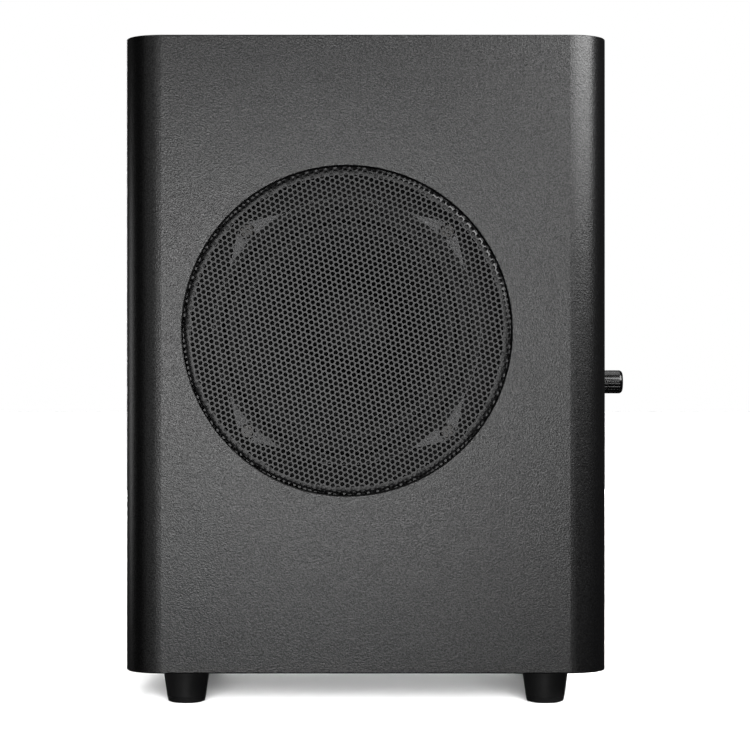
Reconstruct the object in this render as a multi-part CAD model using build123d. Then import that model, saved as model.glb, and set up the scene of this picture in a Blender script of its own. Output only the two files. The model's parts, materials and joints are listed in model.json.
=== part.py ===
"""Active subwoofer with a side-firing 165 mm woofer behind a perforated grille.

Frame: millimetres, +Z up. The origin is on the floor under the centre of the cabinet.
The woofer fires along -Y. The amplifier plate, with its knobs and sockets, is on the +X end.
Every separate piece of the product is its own STEP file, named after the piece.
"""

from build123d import *
import math
import os

# ---------------------------------------------------------------- cabinet
CABINET_LENGTH = 273.4  # X, blank end to amplifier end
CABINET_THICKNESS = 210.0  # Y, woofer face to plain face
CABINET_HEIGHT = 360.0
CORNER_RADIUS = 21.5  # upright corners
EDGE_ROUND = 0.7  # top and bottom outline
SIDE_BOARD = 22.0  # woofer side and plain side
END_BOARD = 15.0  # ends, top and bottom
FOOT_HEIGHT = 20.0
FOOT_INSET = 33.2  # foot centre from the cabinet's faces
FOOT_PILOT_DEPTH = 12.0  # screw hole in the bottom board
TOLERANCE = 0.01  # for picking edges by their place

X_END = CABINET_LENGTH / 2
Y_FACE = CABINET_THICKNESS / 2
Z_LOW = FOOT_HEIGHT
Z_HIGH = FOOT_HEIGHT + CABINET_HEIGHT
X_INSIDE = X_END - END_BOARD
Y_INSIDE = Y_FACE - SIDE_BOARD

# ---------------------------------------------------------------- woofer and its grille
WOOFER_X = -10.7
WOOFER_Z = Z_LOW + 193.1
RECESS_RADIUS = 93.0
RECESS_DEPTH = 14.0
RECESS_CHAMFER = 0.6
CUTOUT_RADIUS = 71.6
SHELF_Y = -Y_FACE + RECESS_DEPTH  # face that the woofer is screwed to
GRILLE_RADIUS = 92.6
GRILLE_SHEET = 1.2
GRILLE_BEND = 5.0
GRILLE_PROUD = 0.4
GRILLE_SKIRT = 12.5
RING_INNER = 88.4  # plastic ring inside the skirt
RING_HEIGHT = 8.0
FRAME_SHEET = 1.2
FRAME_RADIUS = 76.0
EAR_TANGENT_RADIUS = 73.4
EAR_CIRCLE = 80.5  # radius of the circle of the four screws
EAR_END_RADIUS = 5.0
EAR_HOLE_RADIUS = 2.4
WOOFER_SCREW_RADIUS = 2.0
EAR_ANGLES = (45, 135, 225, 315)
FRAME_FACE_Y = SHELF_Y - FRAME_SHEET
BASKET_MOUTH = 70.0  # inner radii of the frame, from its rim to the magnet
BASKET_WAIST = 58.6
BASKET_BASE = 50.0
SURROUND_SKIN = 0.8
SURROUND_OUTER = 75.5
ROLL_OUTER = 70.8
ROLL_INNER = 61.0
CONE_SKIN = 0.8
CONE_LIP_INNER = 57.0
SURROUND_INNER = 57.5
COIL_RADIUS = 19.3  # outside of the voice coil former
FORMER_SKIN = 0.4
FORMER_ENDS_Y = (-69.0, -28.0)
WINDING_ENDS_Y = (-47.0, -35.0)
WINDING_THICKNESS = 0.7
POLE_RADIUS = 18.2
POLE_VENT_RADIUS = 6.0
GAP_RADIUS = 20.6
PLATE_RADIUS = 50.0  # magnet's top plate and back plate
MAGNET_RADIUS = 54.0
MAGNET_BORE = 28.0
MAGNET_CHAMFER = 1.0
SHELF_FRONT_Y = -58.0  # ledge of the frame that the spider is glued to
MAGNET_FACE_Y = -44.0  # front of the magnet's top plate
TOP_PLATE = 6.0
MAGNET_HEIGHT = 18.0
BACK_PLATE = 6.0

# ---------------------------------------------------------------- bass port
PORT_Z = Z_HIGH - 55.0
PORT_BORE_RADIUS = 25.0
PORT_WALL = 3.0
PORT_LENGTH = 120.0
PORT_FLANGE_RADIUS = 34.0
PORT_FLARE = 5.0
PORT_FLANGE = 2.5  # thickness
PORT_CHAMFER = 0.8

# ---------------------------------------------------------------- amplifier plate
PLATE_WIDTH = 140.0
PLATE_HEIGHT = 220.0
PLATE_SHEET = 2.0
PLATE_Z = Z_LOW + 145.0
PLATE_CORNER = 8.0
WINDOW_WIDTH = 120.0  # opening cut in the end board
WINDOW_HEIGHT = 200.0
WINDOW_CORNER = 5.0
SEAL_THICKNESS = 1.0
PLATE_CHAMFER = 0.5
REBATE_GAP = 0.3  # round the plate, which lies flush in a rebate of the end board
X_PLATE = X_END  # outer face of the plate
X_PLATE_BACK = X_PLATE - PLATE_SHEET
X_SEAL = X_PLATE_BACK - SEAL_THICKNESS
PLATE_SCREW_Y = 65.0
PLATE_SCREW_ROWS = (-105.0, -35.0, 35.0, 105.0)  # from the plate's centre
PLATE_SCREW_HOLE = 2.0  # clearance radius in the plate and the seal
SMALL_SCREW_RADIUS = 1.6  # plate, board and inlet
PLATE_SCREW_LENGTH = 11.0
PLATE_PILOT_DEPTH = 12.0

KNOB_Z = Z_LOW + 164.5
LEVEL_Y = -28.0
CROSSOVER_Y = 28.0
KNOB_RADIUS = 6.9
KNOB_TIP_X = X_END + 16.2
KNOB_GAP = 0.8
KNOB_RIBS = 24
SHAFT_RADIUS = 3.0
BUSHING_RADIUS = 3.5
RUNNING_CLEARANCE = 0.05
BOARD_X = X_INSIDE - 0.5  # face of the circuit board that the pots stand on
BOARD_SHEET = 1.6
BOARD_Z = KNOB_Z + 33.0
BOARD_HEIGHT = 90.0
BOARD_WIDTH = 112.0
BOARD_BACK_X = BOARD_X - BOARD_SHEET
STANDOFF_Y = 51.0
STANDOFF_Z = 39.0  # from the board's centre
JACK_YS = (14.0, 34.0)
JACK_Z = KNOB_Z + 43.5
PHASE_Y = LEVEL_Y
PHASE_TRAVEL = 4.0
LED_Z = JACK_Z + 25.0
INLET_Y = -25.0
INLET_Z = Z_LOW + 68.0
ROCKER_Y = 32.0
ROCKER_Z = INLET_Z
ROCKER_TILT = 12.0  # degrees each side of upright
SWITCH_WIDTH = 13.2  # body, which fills its hole in the plate
SWITCH_HEIGHT = 19.2
SWITCH_CORNER = 0.5
TRANSFORMER_Z = PLATE_Z - 28.0


# ---------------------------------------------------------------- helpers
def bar_x(radius, x_from, x_to, y=0.0, z=0.0):
    """Round bar along X."""
    return extrude(Plane((x_from, y, z), z_dir=(1, 0, 0)) * Circle(radius), amount=x_to - x_from)


def bar_y(radius, y_from, y_to, x=WOOFER_X, z=WOOFER_Z):
    """Round bar along Y, on the woofer's axis unless told otherwise."""
    return extrude(Plane((x, y_from, z), z_dir=(0, 1, 0)) * Circle(radius), amount=y_to - y_from)


def bar_z(radius, z_from, z_to, x, y):
    """Round bar along Z."""
    return extrude(Plane((x, y, z_from), z_dir=(0, 0, 1)) * Circle(radius), amount=z_to - z_from)


def block(x_from, x_to, y_from, y_to, z_from, z_to):
    """Box given by its limits."""
    size = (x_to - x_from, y_to - y_from, z_to - z_from)
    centre = ((x_from + x_to) / 2, (y_from + y_to) / 2, (z_from + z_to) / 2)
    return Pos(*centre) * Box(*size)


def slab_x(width, height, corner, x_from, x_to, y=0.0, z=0.0):
    """Rounded rectangle in Y and Z, extruded along X."""
    plane = Plane((x_from, y, z), x_dir=(0, 1, 0), z_dir=(1, 0, 0))
    return extrude(plane * RectangleRounded(width, height, corner), amount=x_to - x_from)


def spin_woofer(*edges):
    """Solid of revolution about the woofer's axis. The edges close a profile of (radius, y)."""
    return Pos(WOOFER_X, 0, WOOFER_Z) * revolve(make_face(Wire(list(edges))), Axis.Y)


def spin_woofer_outline(*points):
    """As spin_woofer, for a profile of straight lines."""
    return spin_woofer(*Polyline(*points, close=True).edges())


def spin_x(y, z, *points):
    """Solid of revolution about a line along X. The points are a profile of (x, radius)."""
    return Pos(0, y, z) * revolve(make_face(Polyline(*points, close=True)), Axis.X)


def spin_z(x, y, *points):
    """Solid of revolution about a line along Z. The points are a profile of (radius, z)."""
    profile = Plane.XZ * make_face(Polyline(*points, close=True))
    return Pos(x, y, 0) * revolve(profile, Axis.Z)


def around_woofer(angle, radius):
    """(x, z) of a point at that angle and radius about the woofer's axis."""
    turn = math.radians(angle)
    return WOOFER_X + radius * math.cos(turn), WOOFER_Z + radius * math.sin(turn)


def edges_past_x(solid, x):
    """Edges whose middles are further along X than x."""
    return [e for e in solid.edges() if e.center().X > x]


def group(solids):
    """Several separate solids as one compound."""
    return Compound(children=[s.solid() if isinstance(s, Part) else s for s in solids])


# ---------------------------------------------------------------- cabinet
def cabinet_envelope():
    outline = Plane((0, 0, Z_LOW)) * RectangleRounded(CABINET_LENGTH, CABINET_THICKNESS, CORNER_RADIUS)
    body = extrude(outline, amount=CABINET_HEIGHT)
    rims = body.faces().sort_by(Axis.Z)[-1].edges() + body.faces().sort_by(Axis.Z)[0].edges()
    return fillet(rims, EDGE_ROUND)


ENVELOPE = cabinet_envelope()


def woofer_panel():
    board = ENVELOPE & block(-X_END, X_END, -Y_FACE, -Y_INSIDE, Z_LOW, Z_HIGH)
    board -= bar_y(RECESS_RADIUS, -Y_FACE, SHELF_Y)
    board -= bar_y(CUTOUT_RADIUS, SHELF_Y, -Y_INSIDE)
    for angle in EAR_ANGLES:
        board -= bar_y(WOOFER_SCREW_RADIUS, SHELF_Y, -Y_INSIDE, *around_woofer(angle, EAR_CIRCLE))
    mouth = [
        e
        for e in board.edges().filter_by(GeomType.CIRCLE)
        if abs(e.radius - RECESS_RADIUS) < TOLERANCE and abs(e.center().Y + Y_FACE) < TOLERANCE
    ]
    return chamfer(mouth, RECESS_CHAMFER)


def plain_panel():
    return ENVELOPE & block(-X_END, X_END, Y_INSIDE, Y_FACE, Z_LOW, Z_HIGH)


def blank_end_panel():
    return ENVELOPE & block(-X_END, -X_INSIDE, -Y_INSIDE, Y_INSIDE, Z_LOW, Z_HIGH)


def amplifier_end_panel():
    board = ENVELOPE & block(X_INSIDE, X_END, -Y_INSIDE, Y_INSIDE, Z_LOW, Z_HIGH)
    board -= slab_x(WINDOW_WIDTH, WINDOW_HEIGHT, WINDOW_CORNER, X_INSIDE, X_END, 0, PLATE_Z)
    rebate_width, rebate_height = PLATE_WIDTH + 2 * REBATE_GAP, PLATE_HEIGHT + 2 * REBATE_GAP
    board -= slab_x(rebate_width, rebate_height, PLATE_CORNER + REBATE_GAP, X_SEAL, X_END, 0, PLATE_Z)
    board -= bar_x(PORT_BORE_RADIUS + PORT_WALL, X_INSIDE, X_END, 0, PORT_Z)
    for y, z in plate_screw_places():
        board -= bar_x(SMALL_SCREW_RADIUS, X_END - PLATE_PILOT_DEPTH, X_END, y, z)
    return board


def top_panel():
    return ENVELOPE & block(-X_INSIDE, X_INSIDE, -Y_INSIDE, Y_INSIDE, Z_HIGH - END_BOARD, Z_HIGH)


def bottom_panel():
    board = ENVELOPE & block(-X_INSIDE, X_INSIDE, -Y_INSIDE, Y_INSIDE, Z_LOW, Z_LOW + END_BOARD)
    for x, y in foot_places():
        board -= bar_z(FOOT_SCREW_RADIUS, Z_LOW, Z_LOW + FOOT_PILOT_DEPTH, x, y)
    return board


# ---------------------------------------------------------------- feet
FOOT_TOP_RADIUS = 13.5
FOOT_BASE_RADIUS = 10.7
FOOT_LIFT = 0.5  # the rubber pad stands out of the foot by this much
PAD_RADIUS = 8.8
PAD_HEIGHT = 2.5
FOOT_SCREW_RADIUS = 2.0
FOOT_SCREW_HEAD_Z = 6.0
FOOT_HEAD_RADIUS = 4.0
FOOT_HEAD_HEIGHT = 2.4
FOOT_HEAD_PLAY = 0.2  # between the head and the hole it sits in
# Rounded bottom edge and parting groove: (radius beyond the base's, height) from the bottom up
FOOT_OUTLINE = ((-0.8, 0.5), (-0.2, 0.8), (0.0, 1.4), (0.35, 3.0), (0.15, 3.2), (0.45, 3.5))


def foot_places():
    x, y = X_END - FOOT_INSET, Y_FACE - FOOT_INSET
    return [(-x, -y), (x, -y), (-x, y), (x, y)]


def foot(x, y):
    side = [(FOOT_BASE_RADIUS + beyond, height) for beyond, height in FOOT_OUTLINE]
    cone = spin_z(x, y, (0, FOOT_LIFT), *side, (FOOT_TOP_RADIUS, FOOT_HEIGHT), (0, FOOT_HEIGHT))
    cone -= bar_z(PAD_RADIUS, FOOT_LIFT, PAD_HEIGHT, x, y)
    head_top = FOOT_SCREW_HEAD_Z + FOOT_HEAD_HEIGHT
    cone -= bar_z(FOOT_HEAD_RADIUS + FOOT_HEAD_PLAY, PAD_HEIGHT, head_top, x, y)
    return cone - bar_z(FOOT_SCREW_RADIUS, FOOT_SCREW_HEAD_Z, FOOT_HEIGHT, x, y)


def foot_pads():
    return group([bar_z(PAD_RADIUS, 0, PAD_HEIGHT, x, y) for x, y in foot_places()])


def foot_screws():
    screws = []
    head_top = FOOT_SCREW_HEAD_Z + FOOT_HEAD_HEIGHT
    for x, y in foot_places():
        head = bar_z(FOOT_HEAD_RADIUS, FOOT_SCREW_HEAD_Z, head_top, x, y)
        screws.append(head + bar_z(FOOT_SCREW_RADIUS, head_top, Z_LOW + FOOT_PILOT_DEPTH, x, y))
    return group(screws)


# ---------------------------------------------------------------- grille
def woofer_grille():
    """Pressed steel cup. Its pattern of holes, 2.5 mm at 3.14 mm, is too fine for this model."""
    front = -Y_FACE - GRILLE_PROUD
    back = front + GRILLE_SKIRT
    flat_radius = GRILLE_RADIUS - GRILLE_BEND
    inner_radius = GRILLE_RADIUS - GRILLE_SHEET
    bend_y = front + GRILLE_BEND
    diagonal = math.sqrt(0.5)
    inner_bend = GRILLE_BEND - GRILLE_SHEET
    return spin_woofer(
        Line((0, front), (flat_radius, front)),
        ThreePointArc(
            (flat_radius, front),
            (flat_radius + GRILLE_BEND * diagonal, bend_y - GRILLE_BEND * diagonal),
            (GRILLE_RADIUS, bend_y),
        ),
        Line((GRILLE_RADIUS, bend_y), (GRILLE_RADIUS, back)),
        Line((GRILLE_RADIUS, back), (inner_radius, back)),
        Line((inner_radius, back), (inner_radius, bend_y)),
        ThreePointArc(
            (inner_radius, bend_y),
            (flat_radius + inner_bend * diagonal, bend_y - inner_bend * diagonal),
            (flat_radius, front + GRILLE_SHEET),
        ),
        Line((flat_radius, front + GRILLE_SHEET), (0, front + GRILLE_SHEET)),
        Line((0, front + GRILLE_SHEET), (0, front)),
    )


def grille_ring():
    """Plastic ring inside the grille's skirt, which stands on the shelf round the woofer."""
    outer = GRILLE_RADIUS - GRILLE_SHEET
    front = SHELF_Y - RING_HEIGHT
    return spin_woofer_outline((outer, SHELF_Y), (outer, front), (RING_INNER, front), (RING_INNER, SHELF_Y))


# ---------------------------------------------------------------- woofer
WINDOW_MIDDLE = (65.0, -74.0, 0.0)  # openings in the frame's sloping wall
WINDOW_SIZE = (26.0, 21.0, 62.0)
VENT_MIDDLE = (52.0, -51.0, 0.0)  # openings in its lower wall, under the spider
VENT_SIZE = (12.0, 6.0, 14.0)


def woofer_frame():
    """Stamped steel frame with four ears, four windows and a shelf for the spider."""
    rim_plane = Plane((WOOFER_X, SHELF_Y, WOOFER_Z), x_dir=(1, 0, 0), z_dir=(0, -1, 0))
    rim = Circle(FRAME_RADIUS)
    spread = math.acos((EAR_TANGENT_RADIUS - EAR_END_RADIUS) / EAR_CIRCLE)
    for angle in EAR_ANGLES:
        near = EAR_TANGENT_RADIUS * math.cos(spread), EAR_TANGENT_RADIUS * math.sin(spread)
        far = EAR_CIRCLE + EAR_END_RADIUS * math.cos(spread), EAR_END_RADIUS * math.sin(spread)
        web = make_face(
            Polyline(near, far, (far[0], -far[1]), (near[0], -near[1]), close=True)
        )
        ear = web + Pos(EAR_CIRCLE, 0) * Circle(EAR_END_RADIUS)
        rim += Rot(0, 0, angle) * ear
    for angle in EAR_ANGLES:
        rim -= Rot(0, 0, angle) * Pos(EAR_CIRCLE, 0) * Circle(EAR_HOLE_RADIUS)
    rim -= Circle(BASKET_MOUTH)
    flange = extrude(rim_plane * rim, amount=FRAME_SHEET)
    base_outer = BASKET_BASE + FRAME_SHEET
    slanted = 0.1  # the sloping wall measures this much more along the radius than across
    basket = spin_woofer_outline(
        (FRAME_RADIUS, FRAME_FACE_Y),
        (FRAME_RADIUS, SHELF_Y),
        (BASKET_MOUTH + FRAME_SHEET + slanted, SHELF_Y),
        (BASKET_WAIST + FRAME_SHEET - 3 * slanted, SHELF_FRONT_Y + FRAME_SHEET),
        (base_outer, SHELF_FRONT_Y + FRAME_SHEET),
        (base_outer, MAGNET_FACE_Y),
        (GAP_RADIUS, MAGNET_FACE_Y),
        (GAP_RADIUS, MAGNET_FACE_Y - FRAME_SHEET),
        (BASKET_BASE, MAGNET_FACE_Y - FRAME_SHEET),
        (BASKET_BASE, SHELF_FRONT_Y),
        (BASKET_WAIST, SHELF_FRONT_Y),
        (BASKET_MOUTH, FRAME_FACE_Y),
    )
    frame = flange + basket
    window = Pos(*WINDOW_MIDDLE) * Box(*WINDOW_SIZE)
    vent = Pos(*VENT_MIDDLE) * Box(*VENT_SIZE)
    for turn in range(4):
        place = Pos(WOOFER_X, 0, WOOFER_Z) * Rot(0, 90 * turn, 0)
        frame -= place * window
        frame -= place * vent
    return frame


GASKET_THICKNESS = 2.2
GASKET_GAP = 0.1  # between the gasket and the surround's roll


def woofer_gasket():
    back = FRAME_FACE_Y - SURROUND_SKIN
    front = back - GASKET_THICKNESS
    inner = ROLL_OUTER + GASKET_GAP
    return spin_woofer_outline((inner, back), (SURROUND_OUTER, back), (SURROUND_OUTER, front), (inner, front))


def woofer_surround():
    """Half-roll rubber surround between the frame and the cone's lip."""
    face = FRAME_FACE_Y
    skin = face - SURROUND_SKIN
    middle = (ROLL_OUTER + ROLL_INNER) / 2
    roll = (ROLL_OUTER - ROLL_INNER) / 2
    under = roll - SURROUND_SKIN
    return spin_woofer(
        Line((SURROUND_OUTER, face), (SURROUND_OUTER, skin)),
        Line((SURROUND_OUTER, skin), (ROLL_OUTER, skin)),
        ThreePointArc((ROLL_OUTER, skin), (middle, skin - roll), (ROLL_INNER, skin)),
        Line((ROLL_INNER, skin), (SURROUND_INNER, skin)),
        Line((SURROUND_INNER, skin), (SURROUND_INNER, face)),
        Line((SURROUND_INNER, face), (middle - under, face)),
        ThreePointArc((middle - under, face), (middle, face - under), (middle + under, face)),
        Line((middle + under, face), (SURROUND_OUTER, face)),
    )


CONE_NECK_Y = -66.5
CONE_NECK_HEIGHT = 1.6  # where the cone is glued to the coil former
CONE_MIDDLE = (38.0, -83.2)  # (radius, y) halfway along its curve, in front
CONE_MIDDLE_BACK = (38.2, -82.16)
CONE_LIP_OUTER = 61.2


def woofer_cone():
    front = FRAME_FACE_Y
    back = front + CONE_SKIN
    neck_back = CONE_NECK_Y + CONE_NECK_HEIGHT
    return spin_woofer(
        Line((CONE_LIP_OUTER, front), (CONE_LIP_INNER, front)),
        ThreePointArc((CONE_LIP_INNER, front), CONE_MIDDLE, (COIL_RADIUS, CONE_NECK_Y)),
        Line((COIL_RADIUS, CONE_NECK_Y), (COIL_RADIUS, neck_back)),
        ThreePointArc((COIL_RADIUS, neck_back), CONE_MIDDLE_BACK, (CONE_LIP_INNER, back)),
        Line((CONE_LIP_INNER, back), (CONE_LIP_OUTER, back)),
        Line((CONE_LIP_OUTER, back), (CONE_LIP_OUTER, front)),
    )


CAP_RADIUS = 24.0
CAP_RIM_Y = -71.9
CAP_HEIGHT = 8.5
CAP_SKIN = 0.7


def dust_cap():
    """Shallow dome, a slice of a thin sphere, whose rim is glued to the cone."""
    sphere_radius = (CAP_RADIUS**2 + CAP_HEIGHT**2) / (2 * CAP_HEIGHT)
    crown_y = CAP_RIM_Y - CAP_HEIGHT
    shell = Sphere(sphere_radius) - Sphere(sphere_radius - CAP_SKIN)
    dome = Pos(WOOFER_X, crown_y + sphere_radius, WOOFER_Z) * shell
    return (dome & bar_y(CAP_RADIUS, crown_y - 1.0, CAP_RIM_Y)) - woofer_cone()


def coil_former():
    tube = bar_y(COIL_RADIUS, *FORMER_ENDS_Y) - bar_y(COIL_RADIUS - FORMER_SKIN, *FORMER_ENDS_Y)
    return tube - woofer_cone()


def coil_winding():
    return bar_y(COIL_RADIUS + WINDING_THICKNESS, *WINDING_ENDS_Y) - bar_y(COIL_RADIUS, *WINDING_ENDS_Y)


SPIDER_SKIN = 0.6
SPIDER_WAVES = 5
SPIDER_WAVE_HEIGHT = 1.4
SPIDER_NECK_Y = -62.4
SPIDER_FIRST_WAVE = COIL_RADIUS + 1.6
SPIDER_LAST_WAVE = 51.6
SPIDER_RADIUS = 58.0


def woofer_spider():
    """Corrugated cloth disc, cupped forwards, between the coil former and the frame's shelf."""
    ledge_y = SHELF_FRONT_Y - SPIDER_SKIN
    steps = 2 * SPIDER_WAVES
    crests = []
    for i in range(steps + 1):
        radius = SPIDER_FIRST_WAVE + (SPIDER_LAST_WAVE - SPIDER_FIRST_WAVE) * i / steps
        y = SPIDER_NECK_Y + (ledge_y - SPIDER_NECK_Y) * i / steps - SPIDER_WAVE_HEIGHT * (i % 2)
        crests.append((radius, y))
    front = [(COIL_RADIUS, SPIDER_NECK_Y), *crests, (SPIDER_RADIUS, ledge_y)]
    back = [(radius, y + SPIDER_SKIN) for radius, y in reversed(front)]
    return spin_woofer_outline(*front, *back)


def magnet_top_plate():
    end = MAGNET_FACE_Y + TOP_PLATE
    return bar_y(PLATE_RADIUS, MAGNET_FACE_Y, end) - bar_y(GAP_RADIUS, MAGNET_FACE_Y, end)


def magnet_ring():
    start = MAGNET_FACE_Y + TOP_PLATE
    end = start + MAGNET_HEIGHT
    ring = bar_y(MAGNET_RADIUS, start, end) - bar_y(MAGNET_BORE, start, end)
    rims = [e for e in ring.edges().filter_by(GeomType.CIRCLE) if e.radius > MAGNET_BORE + TOLERANCE]
    return chamfer(rims, MAGNET_CHAMFER)


def pole_yoke():
    start = MAGNET_FACE_Y + TOP_PLATE + MAGNET_HEIGHT
    end = start + BACK_PLATE
    yoke = bar_y(PLATE_RADIUS, start, end) + bar_y(POLE_RADIUS, MAGNET_FACE_Y, start)
    return yoke - bar_y(POLE_VENT_RADIUS, MAGNET_FACE_Y, end)


TERMINAL_ANGLE = -45
TERMINAL_Y = -50.5
STRIP_SIZE = (12.0, 2.0, 16.0)
STRIP_REACH = 56.0  # from the woofer's axis to the middle of the strip
BLADE_SIZE = (7.0, 0.8, 4.8)
BLADE_REACH = 65.5
BLADE_SPREAD = 4.5


def woofer_terminals():
    """Bakelite strip with two blade terminals, on the frame's lower wall."""
    strip = Pos(STRIP_REACH, TERMINAL_Y, 0) * Box(*STRIP_SIZE)
    blade = Pos(BLADE_REACH, TERMINAL_Y, 0) * Box(*BLADE_SIZE)
    terminals = strip + Pos(0, 0, -BLADE_SPREAD) * blade + Pos(0, 0, BLADE_SPREAD) * blade
    place = Pos(WOOFER_X, 0, WOOFER_Z) * Rot(0, -TERMINAL_ANGLE, 0)
    return (place * terminals) - woofer_frame()


WOOFER_HEAD_RADIUS = 4.75
WOOFER_HEAD_HEIGHT = 2.4
WOOFER_HEAD_ROUND = 1.6
WOOFER_CROSS = (4.6, 1.4, 0.9)  # one bar of the cross in the head
WOOFER_CROSS_DEPTH = 0.5  # from the head's top to the middle of the bar
WOOFER_SCREW_TIP_Y = -83.4


def woofer_screws():
    screws = []
    for angle in EAR_ANGLES:
        x, z = around_woofer(angle, EAR_CIRCLE)
        top_y = FRAME_FACE_Y - WOOFER_HEAD_HEIGHT
        head = bar_y(WOOFER_HEAD_RADIUS, top_y, FRAME_FACE_Y, x, z)
        head = fillet([e for e in head.edges() if e.center().Y < top_y + TOLERANCE], WOOFER_HEAD_ROUND)
        for turn in (0, 90):
            head -= Pos(x, top_y + WOOFER_CROSS_DEPTH, z) * Rot(0, angle + turn, 0) * Box(*WOOFER_CROSS)
        screws.append(head + bar_y(WOOFER_SCREW_RADIUS, FRAME_FACE_Y, WOOFER_SCREW_TIP_Y, x, z))
    return group(screws)


# ---------------------------------------------------------------- bass port
def bass_port():
    bore, wall = PORT_BORE_RADIUS, PORT_BORE_RADIUS + PORT_WALL
    outside = X_END + PORT_FLANGE
    inside = X_END - PORT_LENGTH
    diagonal = 1 - math.sqrt(0.5)
    profile = [
        Line((inside, bore), (inside, wall)),
        Line((inside, wall), (X_END, wall)),
        Line((X_END, wall), (X_END, PORT_FLANGE_RADIUS)),
        Line((X_END, PORT_FLANGE_RADIUS), (outside - PORT_CHAMFER, PORT_FLANGE_RADIUS)),
        Line((outside - PORT_CHAMFER, PORT_FLANGE_RADIUS), (outside, PORT_FLANGE_RADIUS - PORT_CHAMFER)),
        Line((outside, PORT_FLANGE_RADIUS - PORT_CHAMFER), (outside, bore + PORT_FLARE)),
        ThreePointArc(
            (outside, bore + PORT_FLARE),
            (outside - PORT_FLARE * diagonal, bore + PORT_FLARE * diagonal),
            (outside - PORT_FLARE, bore),
        ),
        Line((outside - PORT_FLARE, bore), (inside, bore)),
    ]
    return Pos(0, 0, PORT_Z) * revolve(make_face(Wire(profile)), Axis.X)


# ---------------------------------------------------------------- amplifier plate and seal
def plate_screw_places():
    sides = [(side * PLATE_SCREW_Y, PLATE_Z + row) for side in (-1, 1) for row in PLATE_SCREW_ROWS]
    return sides + [(0.0, PLATE_Z + PLATE_SCREW_ROWS[0]), (0.0, PLATE_Z + PLATE_SCREW_ROWS[-1])]


def standoff_places():
    return [(y, BOARD_Z + side * STANDOFF_Z) for y in (-STANDOFF_Y, STANDOFF_Y) for side in (-1, 1)]


def amplifier_plate():
    plate = slab_x(PLATE_WIDTH, PLATE_HEIGHT, PLATE_CORNER, X_PLATE_BACK, X_PLATE, 0, PLATE_Z)
    plate = chamfer(edges_past_x(plate, X_PLATE - TOLERANCE), PLATE_CHAMFER)
    holes = [bar_x(PLATE_SCREW_HOLE, X_PLATE_BACK, X_PLATE, y, z) for y, z in plate_screw_places()]
    for y in (LEVEL_Y, CROSSOVER_Y):
        holes.append(bar_x(BUSHING_RADIUS, X_PLATE_BACK, X_PLATE, y, KNOB_Z))
    for y in JACK_YS:
        holes.append(bar_x(JACK_BOSS_RADIUS, X_PLATE_BACK, X_PLATE, y, JACK_Z))
    holes.append(slab_x(SLOT_WIDTH, SLOT_HEIGHT, SWITCH_CORNER, X_PLATE_BACK, X_PLATE, PHASE_Y, JACK_Z))
    holes.append(bar_x(LED_RADIUS, X_PLATE_BACK, X_PLATE, LEVEL_Y, LED_Z))
    inlet_hole = slab_x(INLET_WIDTH, INLET_HEIGHT, INLET_CORNER, X_PLATE_BACK, X_PLATE, INLET_Y, INLET_Z)
    holes.append(inlet_hole)
    for side in (-1, 1):
        y = INLET_Y + side * INLET_SCREW_OFFSET
        holes.append(bar_x(SMALL_SCREW_RADIUS, X_PLATE_BACK, X_PLATE, y, INLET_Z))
    switch_size = SWITCH_WIDTH, SWITCH_HEIGHT, SWITCH_CORNER
    holes.append(slab_x(*switch_size, X_PLATE_BACK, X_PLATE, ROCKER_Y, ROCKER_Z))
    holes.append(bar_x(TRANSFORMER_BOLT_RADIUS, X_PLATE_BACK, X_PLATE, 0, TRANSFORMER_Z))
    for hole in holes:
        plate -= hole
    return plate


def plate_seal():
    outer = slab_x(PLATE_WIDTH, PLATE_HEIGHT, PLATE_CORNER, X_SEAL, X_PLATE_BACK, 0, PLATE_Z)
    seal = outer - slab_x(WINDOW_WIDTH, WINDOW_HEIGHT, WINDOW_CORNER, X_SEAL, X_PLATE_BACK, 0, PLATE_Z)
    for y, z in plate_screw_places():
        seal -= bar_x(PLATE_SCREW_HOLE, X_SEAL, X_PLATE_BACK, y, z)
    return seal


def cross_head(x, y, z, radius, height, rounding, turn, cross):
    """Round head that stands on x towards +X, with a cross in it. The cross is a box at its top."""
    top = x + height
    head = bar_x(radius, x, top, y, z)
    head = fillet(edges_past_x(head, top - TOLERANCE), rounding)
    for quarter in (0, 90):
        head -= Pos(top - CROSS_SINK, y, z) * Rot(turn + quarter, 0, 0) * Box(*cross)
    return head


CROSS_SINK = 0.3  # from a head's top to the middle of its cross
PLATE_HEAD = {"radius": 3.4, "height": 1.6, "rounding": 1.0, "turn": 20, "cross": (1.0, 3.6, 0.7)}


def plate_screws():
    screws = []
    for y, z in plate_screw_places():
        head = cross_head(X_PLATE, y, z, **PLATE_HEAD)
        screws.append(head + bar_x(SMALL_SCREW_RADIUS, X_END - PLATE_SCREW_LENGTH, X_PLATE, y, z))
    return group(screws)


# ---------------------------------------------------------------- amplifier electronics
def amplifier_board():
    board = block(
        BOARD_BACK_X,
        BOARD_X,
        -BOARD_WIDTH / 2,
        BOARD_WIDTH / 2,
        BOARD_Z - BOARD_HEIGHT / 2,
        BOARD_Z + BOARD_HEIGHT / 2,
    )
    for y, z in standoff_places():
        board -= bar_x(SMALL_SCREW_RADIUS, BOARD_BACK_X, BOARD_X, y, z)
    return board


PILLAR_RADIUS = 3.0
BOARD_HEAD_RADIUS = 2.8
BOARD_HEAD_HEIGHT = 1.8


def board_fixings():
    """Four pillars from the plate, and the screw that holds the board on each."""
    solids = []
    for y, z in standoff_places():
        solids.append(bar_x(PILLAR_RADIUS, BOARD_X, X_PLATE_BACK, y, z))
        head = bar_x(BOARD_HEAD_RADIUS, BOARD_BACK_X - BOARD_HEAD_HEIGHT, BOARD_BACK_X, y, z)
        solids.append(head + bar_x(SMALL_SCREW_RADIUS, BOARD_BACK_X, BOARD_X, y, z))
    return group(solids)


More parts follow.
